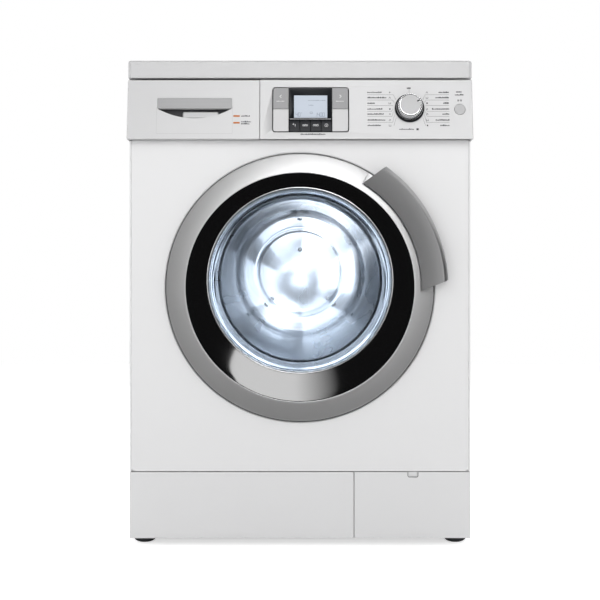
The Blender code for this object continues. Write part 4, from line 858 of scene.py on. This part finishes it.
def make_display():
    low_x, high_x, half = -0.0478, 0.0848, 0.0406
    column = (-0.0196, 0.0558)
    body = finish(prism_mesh(rounded_rectangle(low_x, high_x, -half, half, 0.005), -0.0004, 0.016),
                  "display_body", "frame_black", "cabinet", FACE, replaces="display_module", bevel=0.0005,
                  segments=2)
    rim = 0.0009
    mouth, floor = (-0.0188, 0.0551, -0.0160, 0.0373), (-0.0101, 0.0472, -0.0127, 0.0273)
    carve(body,
          cutter((low_x + rim, -0.01, -half + rim), (column[0], 0.009, half - rim), FACE),
          cutter((column[1], -0.01, -half + rim), (high_x - rim, 0.009, half - rim), FACE),
          cutter((column[0] + 0.0008, -0.01, -half + rim), (column[1] - 0.0008, 0.009, -0.0185), FACE),
          helper_of(funnel_mesh(mouth, floor, -0.001, 0.0062), FACE),
          sharp=30)
    finish(box_mesh((-0.0104, 0.0054, -0.0130), (0.0475, 0.0060, 0.0276)), "display_screen", "screen",
           "cabinet", FACE, bevel=0.0001)
    ink = digits("40", -0.0072, -0.0105, 0.0066) + [(0.0022, -0.0042, 0.0034, -0.0042, 0.0010)]
    ink += digits("1400", 0.0262, -0.0105, 0.0066)
    ink += words(0.0140, 0.0185, 0.030, 0.0011) + words(0.0150, 0.0098, 0.009, 0.0016)
    frame_line = [(0.0175, -0.0055), (0.0215, -0.0055), (0.0215, -0.0025), (0.0175, -0.0025)]
    ink += [(*a, *b, 0.0006) for a, b in zip(frame_line, frame_line[1:] + frame_line[:1])]
    finish(strokes_mesh(ink, 0.0052, 0.0056), "display_ink", "digits", "cabinet", FACE)
    line = [(-0.0176, -0.0172, 0.0538, -0.0172, 0.0010)]
    finish(strokes_mesh(line, -0.0007, 0.001), "display_line", "grip", "cabinet", FACE, slot="silver_keys")

    edge = 0.0003
    for side, x0, x1, tip, base in (
        ("left", low_x + rim + 0.0004, column[0] - edge, -0.0352, -0.0322),
        ("right", column[1] + edge, high_x - rim - 0.0004, 0.0718, 0.0688),
    ):
        for level, z0, z1, look in (("upper", 0.0015, half - rim - edge, "grey_key"),
                                    ("lower", -half + rim + edge, 0.0007, "light_key")):
            name = f"key_{level}_{side}"
            places = (("upper_right", x1, z1), ("upper_left", x0, z1), ("lower_left", x0, z0),
                      ("lower_right", x1, z0))
            outline = []
            for i, (place, cx, cz) in enumerate(places):
                r = 0.0042 if name.endswith(place) else 0.0004
                middle = (cx + (-r if cx == x1 else r), cz + (-r if cz == z1 else r))
                outline += arc(middle, r, i * pi / 2, (i + 1) * pi / 2, 4)
            finish(prism_mesh(outline, -0.0006, 0.0045), f"{name}_cap", look, name, FACE, replaces=name,
                   bevel=0.0007)
            if level == "upper":
                marks = [(tip, 0.0238, base, z, 0.0007) for z in (0.0264, 0.0212)]
                marks += words((x0 + x1) / 2 - 0.0075, 0.0150, 0.014, 0.0010)
                finish(strokes_mesh(marks, -0.0008, 0.0), f"{name}_mark", "pale_print", name, FACE)
    start, end = column[0] + 0.0008, column[1] - 0.0008
    pitch = (end - start) / 4
    for i, name in enumerate(("key_temperature", "key_spin", "key_soil", "key_clear")):
        x0, x1 = start + i * pitch + 0.0004, start + (i + 1) * pitch - 0.0004
        z0, z1 = -half + rim + edge, -0.0189
        finish(black_key_mesh(x0, x1, z0, z1), f"{name}_cap", "black_key", name, FACE, replaces=name,
               bevel=0.0006)
        cx, cz = (x0 + x1) / 2, (z0 + z1) / 2 + 0.0006
        if name == "key_temperature":
            marks = hoop_lines(cx - 0.0018, cz + 0.0020, 0.0009, 8)
            marks.append((cx + 0.0012, cz - 0.0022, cx + 0.0012, cz + 0.0022, 0.0006))
        elif name == "key_clear":
            marks = hoop_lines(cx, cz, 0.0026, 18) + [(cx - 0.0006, cz, cx + 0.0006, cz, 0.0012)]
        else:
            marks = [line for dx in (-0.0030, 0.0, 0.0030) for line in hoop_lines(cx + dx, cz, 0.0014)]
        finish(strokes_mesh(marks, -0.0009, -0.0002), f"{name}_mark", "pale_print", name, FACE,
               slot="black_keys")


def hoop_lines(x, z, radius, count=14):
    """A small printed ring, as strokes."""
    points = arc((x, z), radius, 0.0, tau, count)
    return [(*a, *b, 0.0005) for a, b in zip(points, points[1:])]


def black_key_mesh(x0, x1, z0, z1):
    """A key whose upper third slopes back to the frame."""
    bm = bmesh.new()
    rows = []
    for z, y in ((z0, -0.0006), (z1 - 0.006, -0.0006), (z1, 0.0009), (z1, 0.0045), (z0, 0.0045)):
        rows.append([bm.verts.new((x, y, z)) for x in (x0, x1)])
    bridge(bm, rows, around=False, onward=True)
    bm.faces.new([r[0] for r in rows])
    bm.faces.new([r[1] for r in rows])
    return bm


def funnel_mesh(mouth, floor, near, far):
    bm = bmesh.new()
    rows = []
    for (x0, x1, z0, z1), y in ((mouth, near), (floor, far)):
        rows.append([bm.verts.new(p) for p in ((x0, y, z0), (x1, y, z0), (x1, y, z1), (x0, y, z1))])
    bridge(bm, rows, caps=True)
    return bm


def make_dial():
    x, z = DIAL_X, DIAL_Z
    base, face = 0.0258, 0.0196
    centre = (x, 0, z)
    skirt = [(0, 0.016), (0.0034, 0.016), (0.0034, -0.0012), (base - 0.001, -0.0012), (base, -0.0018),
             (base, -0.0032), (base - 0.0007, -0.0040), (face + 0.0040, -0.0052), (face + 0.0024, -0.0066),
             (face + 0.0015, -0.0100), (face + 0.0008, -0.0170), (face + 0.0002, -0.0200),
             (face - 0.0008, -0.0212), (face - 0.0016, -0.0214), (0, -0.0214)]
    finish(lathe_mesh(skirt, centre, 96), "dial_skirt", "chrome", "dial", FACE, replaces="programme_dial")
    cap = [(0, -0.0212), (face - 0.0021, -0.0212), (face - 0.0019, -0.0219), (face - 0.0030, -0.02205),
           (0, -0.0222)]
    finish(lathe_mesh(cap, centre, 96), "dial_cap", "dial_face", "dial", FACE)
    ribs = []
    foot, head = face + 0.0014, face + 0.0004
    for a in (tau * k / 36 for k in range(36)):
        c, s = cos(a), sin(a)
        ribs.append(wire_mesh([(x + foot * c, -0.0085, z + foot * s), (x + head * c, -0.0192, z + head * s)],
                              0.00055, 6))
    joined("dial_grip_ribs", ribs, "chrome", "dial", matrix=FACE)
    lines = ((0.0250, -0.0040), (0.0237, -0.0050), (0.0218, -0.0082))
    grooves = [hoop_mesh((x, y, z), radius, 0.0005, 96) for radius, y in lines]
    joined("dial_ring_lines", grooves, "frame_black", "dial", matrix=FACE, slot="black_keys")
    c, s = cos(radians(27)), sin(radians(27))
    near, far = 0.0128, 0.0178
    tick = (x + near * c, z + near * s, x + far * c, z + far * s, 0.0020)
    finish(strokes_mesh([tick], -0.0223, -0.0215), "dial_pointer", "frame_black", "dial", FACE,
           slot="black_keys")

    r = 0.0094
    button = [(0, 0.0058), (r + 0.0018, 0.0058), (r + 0.0018, 0.0038), (r, 0.0038), (r, -0.0004),
              (r - 0.0004, -0.0009), (r - 0.0010, -0.0010), (r * 0.5, -0.0006), (0, -0.0005)]
    finish(lathe_mesh(button, (START_X, 0, START_Z), 56), "key_start_cap", "start", "key_start", FACE,
           replaces="key_start")


# ---------------------------------------------------------------- detergent drawer
def make_drawer():
    low_x, high_x = -0.300, SEAM_X - 0.0008
    edge = FACE_HALF - 0.0004
    front = finish(box_mesh((low_x, 0, -edge), (high_x, 0.006, edge + 0.0012)), "drawer_panel", "drawer",
                   "drawer", FACE, replaces="drawer_front", bevel=0.0014)
    gx0, gx1, gz0, gz1, sag = -0.248, -0.118, 0.0015, 0.0208, 0.0172
    mid, half = (gx0 + gx1) / 2, (gx1 - gx0) / 2 - 0.001
    radius = (half**2 + sag**2) / (2 * sag)
    spread = asin(half / radius)
    scoop_edge = arc((mid, gz0 - sag + radius), radius, -pi / 2 - spread, -pi / 2 + spread, 40)
    scoop_outline = scoop_edge + [(gx1 - 0.001, gz0 + 0.0006), (gx0 + 0.001, gz0 + 0.0006)]
    carve(front, helper_of(prism_mesh(scoop_outline, -0.01, 0.02), FACE))
    weigh_normals(front)

    # the scoop's shell: a shallow bowl whose wall curves back to its floor; its near-black colour is painted
    # shade for the dark under the grip
    bm = bmesh.new()
    rows = []
    bowl = ((0.0056, 0.0), (0.012, 0.0006), (0.017, 0.0022), (0.0200, 0.0052), (0.0210, 0.0095))
    for depth, shrink in bowl:
        rows.append([bm.verts.new((mid + (px - mid) * (1 - shrink * 6), depth,
                                   gz0 + (pz - gz0) * (1 - shrink * 22))) for px, pz in scoop_edge])
    rows.append([bm.verts.new((v.co.x, 0.0210, gz1 - 0.004)) for v in rows[-1]])
    bridge(bm, rows, around=False)
    finish(bm, "drawer_scoop", "scoop", "drawer", FACE, sharp=60)
    pad = rounded_rectangle(-0.2045, -0.1420, -0.0128, -0.0008, 0.003)
    finish(prism_mesh(pad, 0.0085, 0.0205), "scoop_pad", "drawer", "drawer", FACE, bevel=0.0022)

    bar = rounded_rectangle(gx0, gx1, gz0, gz1, 0.0016)
    finish(prism_mesh(bar, -0.0012, 0.0030), "drawer_grip", "grip", "drawer", FACE, bevel=0.0008)
    # the outline of the insert that holds the grip
    rect = [(gx0 - 0.0008, gz0 + 0.004), (gx0 - 0.0008, -0.0432), (gx1 + 0.0008, -0.0432),
            (gx1 + 0.0008, gz0 + 0.004)]
    lines = [(*a, *b, 0.0004) for a, b in zip(rect, rect[1:])]
    finish(strokes_mesh(lines, -0.00006, 0.0003), "drawer_insert_line", "pale_seam", "drawer", FACE)
    lo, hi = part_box("drawer_tray")
    pitch = (hi.x - lo.x - 0.0025) / 3
    cap_x = lo.x + 0.0025 + 1.5 * pitch - 0.00125
    siphon = [(0, 0.004), (0.0085, 0.004), (0.0085, 0.036), (0.0070, 0.0385), (0, 0.0395)]
    lathe("softener_siphon", siphon, (cap_x, hi.y - 0.022, lo.z), "blue", "drawer", 40, "Z")
    box("softener_lid", (cap_x - pitch / 2 + 0.0022, hi.y - 0.052, hi.z - 0.0065),
        (cap_x + pitch / 2 - 0.0022, hi.y - 0.005, hi.z - 0.0035), "blue", "drawer", 0.001)


# ---------------------------------------------------------------- door
def make_door():
    inner = 0.198
    section = [(inner, -0.0270), (RING_R, -0.0150), (RING_R, 0.0100), (RING_R - 0.003, 0.0100),
               (RING_R - 0.003, -0.0125), (inner + 0.003, -0.0230), (inner + 0.003, -0.0050), (inner, -0.0050)]
    loops = [(r, d, DOOR_Z) for r, d in rounded_profile(section, 0.0022, 4)]
    ring = finish(loft_mesh(loops, 240), "door_ring", "silver", "door", replaces="door_frame")
    r0, r1 = 0.2085, RING_R + 0.01
    start, end = radians(-2.0), radians(59.2)
    sector = arc((0, DOOR_Z), r1, start, end, 40) + arc((0, DOOR_Z), r0, end, start, 40)
    relief = cutter((-RING_R - 0.01, inward(-0.0115), DOOR_Z - 0.036),
                    (-RING_R + 0.006, inward(0.02), DOOR_Z + 0.036))
    carve(ring, helper_of(prism_mesh(sector, inward(-0.035), inward(-0.0075))), relief, sharp=40)
    floor = arc((0, DOOR_Z), RING_R - 0.0004, start, end, 40) + arc((0, DOOR_Z), r0 - 0.001, end, start, 40)
    prism("ring_recess_floor", floor, inward(-0.0080), inward(-0.0065), "silver", "door")

    # the bezel runs from the ring in to the glass, whose axis is lower
    bezel = []
    outer_r, glass_r, outer_depth, glass_depth = inner - 0.0006, 0.1632, -0.0256, -0.0094
    for k in range(13):
        t = k / 12
        r = outer_r + (glass_r - outer_r) * t
        d = outer_depth + (glass_depth - outer_depth) * (t ** 0.92)
        bezel.append((r, d, DOOR_Z + (GLASS_Z - DOOR_Z) * t))
    back = [(r, d + 0.004, z) for r, d, z in reversed(bezel)]
    finish(loft_mesh(bezel + back, 240), "door_bezel_gloss", "black", "door", sharp=50, replaces="door_bezel")
    lip = hoop_mesh((0, inward(-0.0262), DOOR_Z), inner - 0.0003, 0.0006, 200)
    finish(lip, "bezel_edge_line", "frame_black", "door")
    make_glass()
    make_handle()


def make_glass():
    """A thick bowl: a rim bead, a flaring wall, and two pressed steps in its end."""
    inside = [(0.0, 0.1175), (0.055, 0.1168), (0.0720, 0.1155), (0.0755, 0.1140), (0.0785, 0.1100),
              (0.0820, 0.1085), (0.1000, 0.1075), (0.1085, 0.1050), (0.1140, 0.0995), (0.1175, 0.0900),
              (0.1480, 0.0120), (0.1510, 0.0040), (0.1540, -0.0010), (0.1580, -0.0042), (0.1605, -0.0052),
              (0.1640, -0.0044), (0.1676, -0.0038)]
    outside = [(0.1676, 0.0018), (0.1600, 0.0032), (0.1572, 0.0080), (0.1545, 0.0150), (0.1235, 0.0960),
               (0.1200, 0.1050), (0.1140, 0.1120), (0.1040, 0.1150), (0.0860, 0.1165), (0.0822, 0.1185),
               (0.0790, 0.1220), (0.0740, 0.1236), (0.055, 0.1240), (0.0, 0.1243)]
    bowl = lathe("door_bowl", inside + outside, GLASS_AXIS, "glass", "door", 160, sharp=60,
                 replaces="door_glass")
    for vertex in bowl.data.vertices:
        vertex.co.z += BOWL_LEAN * max(0.0, vertex.co.y - inward(0.008))
    seat = [(0.1612, -0.0092), (0.1634, -0.0092), (0.1634, -0.0052), (0.1612, -0.0052)]
    lathe("glass_seat_ring", rounded_profile(seat, 0.0008), GLASS_AXIS, "chrome", "door", 160)


def make_handle():
    mid = radians(28.6)
    section = [(0.211, -0.0282), (0.2135, -0.0310), (0.2462, -0.0474), (0.2478, -0.0478), (0.2492, -0.0471),
               (0.2556, -0.0378), (0.2560, -0.0362), (0.2560, -0.0226), (0.2552, -0.0220), (0.2440, -0.0220),
               (0.2362, -0.0162), (0.2350, -0.0160), (0.2118, -0.0160), (0.2110, -0.0168)]
    out = Vector((cos(mid), 0, sin(mid)))
    along = Vector((sin(mid), 0, -cos(mid)))
    centre = Vector(DOOR_AXIS)
    bm = bmesh.new()
    steps = 64
    rows = []
    inner_r, half_length, widening = 0.211, 0.106, 0.0055 / 0.045
    for i in range(steps + 1):
        row = []
        for r, d in section:
            offset = (half_length + (r - inner_r) * widening) * (2 * i / steps - 1)
            place = centre + out * sqrt(r * r - offset * offset) + along * offset
            row.append(bm.verts.new(place + Vector((0, d, 0))))
        rows.append(row)
    bridge(bm, rows, caps=True)
    handle = finish(bm, "door_pull", "handle", "handle", sharp=28, replaces="door_handle")
    handle.data.materials.append(MATERIALS["handle_edge"])
    for face in handle.data.polygons:
        c = face.center - centre
        radius = hypot(c.x, c.z)
        if radius > 0.2488 and c.y < -0.037 and abs(face.normal.dot(along)) < 0.9:
            face.material_index = 1


# ---------------------------------------------------------------- washing unit
def make_gasket():
    profile = [(0.1835, 0.0170), (0.1835, 0.0350), (0.1790, 0.0400), (0.1772, 0.0430), (0.1772, 0.0530),
               (0.1764, 0.0560), (0.1764, 0.0915), (0.1725, 0.0915), (0.1725, 0.0770), (0.1690, 0.0745),
               (0.1655, 0.0725), (0.1648, 0.0700), (0.1660, 0.0670), (0.1710, 0.0630), (0.1735, 0.0600),
               (0.1735, 0.0500), (0.1710, 0.0455), (0.1655, 0.0410), (0.1630, 0.0340), (0.1606, 0.0265),
               (0.1606, 0.0235), (0.1640, 0.0214), (0.1700, 0.0200), (0.1780, 0.0178)]
    obj = lathe("door_bellows", profile, GLASS_AXIS, "rubber", None, 144, sharp=70, replaces="door_gasket")
    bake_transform(obj)


def perforated_wall(radius, y0, y1, around, along, hole):
    """A cylinder wall of brick-laid cells, each with an eight-sided hole."""
    bm = bmesh.new()
    shared = {}

    def vert(u, v):
        key = (round(u * 2) % (around * 2), round(v * 2))
        if key not in shared:
            a = tau * u / around
            shared[key] = bm.verts.new((radius * cos(a), y0 + (y1 - y0) * v / along, radius * sin(a)))
        return shared[key]

    unit_u, unit_v = radius * tau / around, (y1 - y0) / along
    for row in range(along):
        for col in range(around):
            u0 = col + (0.5 if row % 2 else 0.0)
            rim = [vert(u0, row), vert(u0 + 0.5, row), vert(u0 + 1, row), vert(u0 + 1, row + 0.5),
                   vert(u0 + 1, row + 1), vert(u0 + 0.5, row + 1), vert(u0, row + 1), vert(u0, row + 0.5)]
            ring = []
            for k in range(8):
                t = radians(225 + 45 * k)
                u = u0 + 0.5 + hole * cos(t) / unit_u
                v = row + 0.5 + hole * sin(t) / unit_v
                a = tau * u / around
                ring.append(bm.verts.new((radius * cos(a), y0 + (y1 - y0) * v / along, radius * sin(a))))
            for k in range(8):
                n = (k + 1) % 8
                bm.faces.new((rim[k], rim[n], ring[n], ring[k]))
    return bm


def make_drum():
    r = (DRUM_HIGH.x - DRUM_LOW.x) / 2
    near, far = DRUM_LOW.y - PANEL_Y, DRUM_HIGH.y - PANEL_Y
    wall = perforated_wall(r - 0.0007, inward(near + 0.012), inward(far - 0.008), 108, 22, 0.0021)
    obj = finish(wall, "drum_wall", "steel", "drum", Matrix.Translation((0, 0, GLASS_Z)), sharp=40,
                 replaces="drum_shell")
    shade(thicken(obj), 40)
    mouth = 0.150
    front = [(mouth, near + 0.0010), (mouth + 0.0015, near), (mouth + 0.004, near + 0.0015),
             (mouth + 0.006, near + 0.0042), (r - 0.012, near + 0.0042), (r - 0.004, near + 0.0062),
             (r - 0.0004, near + 0.0125), (r - 0.0012, near + 0.0128), (r - 0.0050, near + 0.0075),
             (r - 0.013, near + 0.0054), (mouth + 0.006, near + 0.0054), (mouth + 0.003, near + 0.0030)]
    lathe("drum_front", front, GLASS_AXIS, "steel", "drum", 144)

    bm = bmesh.new()
    rings, spokes = 26, 144
    rows = []
    edge = r - 0.0006
    # a disc with three pressed lobes, a hub boss and a rolled edge
    for i in range(rings + 1):
        radius = edge * i / rings
        row = []
        for k in range(spokes):
            a = tau * k / spokes
            lobe = max(0.0, cos(1.5 * a) ** 2 * 1.5 - 0.6)
            band = max(0.0, sin(pi * min(max((radius - 0.045) / 0.165, 0), 1)))
            hub = 0.5 + 0.5 * cos(pi * min(radius / 0.060, 1.0))
            edge_roll = max(0.0, (radius - (edge - 0.010)) / 0.010) ** 2
            y = far - 0.0016 - 0.009 * min(lobe, 0.8) * band - 0.006 * hub - 0.008 * edge_roll
            place = (radius * cos(a), inward(y), GLASS_Z + radius * sin(a))
            row.append(bm.verts.new(place) if i or not k else row[0])
        rows.append(row)
    bridge(bm, rows)
    thicken(finish(bm, "drum_back", "steel", "drum", sharp=60)).data.shade_smooth()
    rivets = []
    for k in range(3):
        for rr in (0.075, 0.130, 0.185):
            a = radians(90 + 120 * k)
            head = [(0, -0.0022), (0.0020, -0.0020), (0.0042, -0.0008), (0.0046, 0.0), (0.0046, 0.003),
                    (0, 0.003)]
            rivets.append(lathe_mesh(head, (rr * cos(a), inward(far - 0.0090), GLASS_Z + rr * sin(a)), 20))
    joined("drum_rivets", rivets, "steel", "drum")

    length0, length1 = near + 0.024, far - 0.020
    section = [(-0.033, 0.0045), (-0.0225, 0.0150), (-0.0085, 0.0510), (0.0085, 0.0510), (0.0225, 0.0150),
               (0.033, 0.0045), (0.0, 0.0016)]
    section = rounded_profile(section, 0.006, 4)
    foot, wall_z = 0.0016, -(r - 0.0022)
    for i in range(3):
        bm = bmesh.new()
        rows = []
        count = 14
        for k in range(count + 1):
            t = k / count
            taper = min(1.0, 0.72 + 2.2 * min(t, 1 - t))
            y = inward(length0 + (length1 - length0) * t)
            rows.append([bm.verts.new((px * (0.9 + 0.1 * taper), y, wall_z + foot + (pz - foot) * taper))
                         for px, pz in section])
        bridge(bm, rows, caps=True)
        turn = Matrix.Translation((0, 0, GLASS_Z)) @ Matrix.Rotation(radians(60 + 120 * i), 4, "Y")
        finish(bm, f"drum_lifter_{i + 1}", "lifter", "drum", turn, sharp=50, replaces=f"lifter_{i + 1}")


def make_springs():
    for label in ("left", "right"):
        lo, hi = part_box(f"suspension_spring_{label}")
        x, y = (lo.x + hi.x) / 2, (lo.y + hi.y) / 2
        points = []
        turns, per, radius = 13, 14, 0.0092
        for i in range(turns * per + 1):
            a = tau * i / per
            z = lo.z + 0.004 + (hi.z - lo.z - 0.008) * i / (turns * per)
            points.append((x + radius * cos(a), y + radius * sin(a), z))
        obj = finish(wire_mesh(points, 0.0013, 7), f"spring_coil_{label}", "zinc", None, sharp=60,
                     replaces=f"suspension_spring_{label}")
        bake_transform(obj)


def make_carried():
    """The CAD nodes that keep their shape, by look."""
    for look, names in {
        "base": ("base_tray",),
        "belt": ("drive_belt",),
        "blue": ("inlet_valve", "pump_filter"),
        "cast": ("hinge_bracket", "drum_spider", "drum_pulley"),
        "concrete": ("front_counterweight", "upper_counterweight"),
        "dark": ("damper_cylinder_left", "damper_cylinder_right"),
        "foot": ("cable_gland",),
        "motor": ("motor",),
        "rubber": ("drain_outlet",),
        "tub": ("tub_rear", "tub_front", "pump_housing"),
        "white": ("drawer_tray", "dispenser_housing", "door_inner_frame", "door_lock"),
        "zinc": ("hinge_pin", "latch_hook", "drum_bearing", "motor_pulley", "damper_rod_left",
                 "damper_rod_right"),
    }.items():
        for name in names:
            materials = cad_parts[name].data.materials
            materials.clear()
            materials.append(MATERIALS[look])


make_stage()
make_cabinet()
make_fascia()
make_display()
make_dial()
make_drawer()
make_door()
make_gasket()
make_drum()
make_springs()
make_carried()
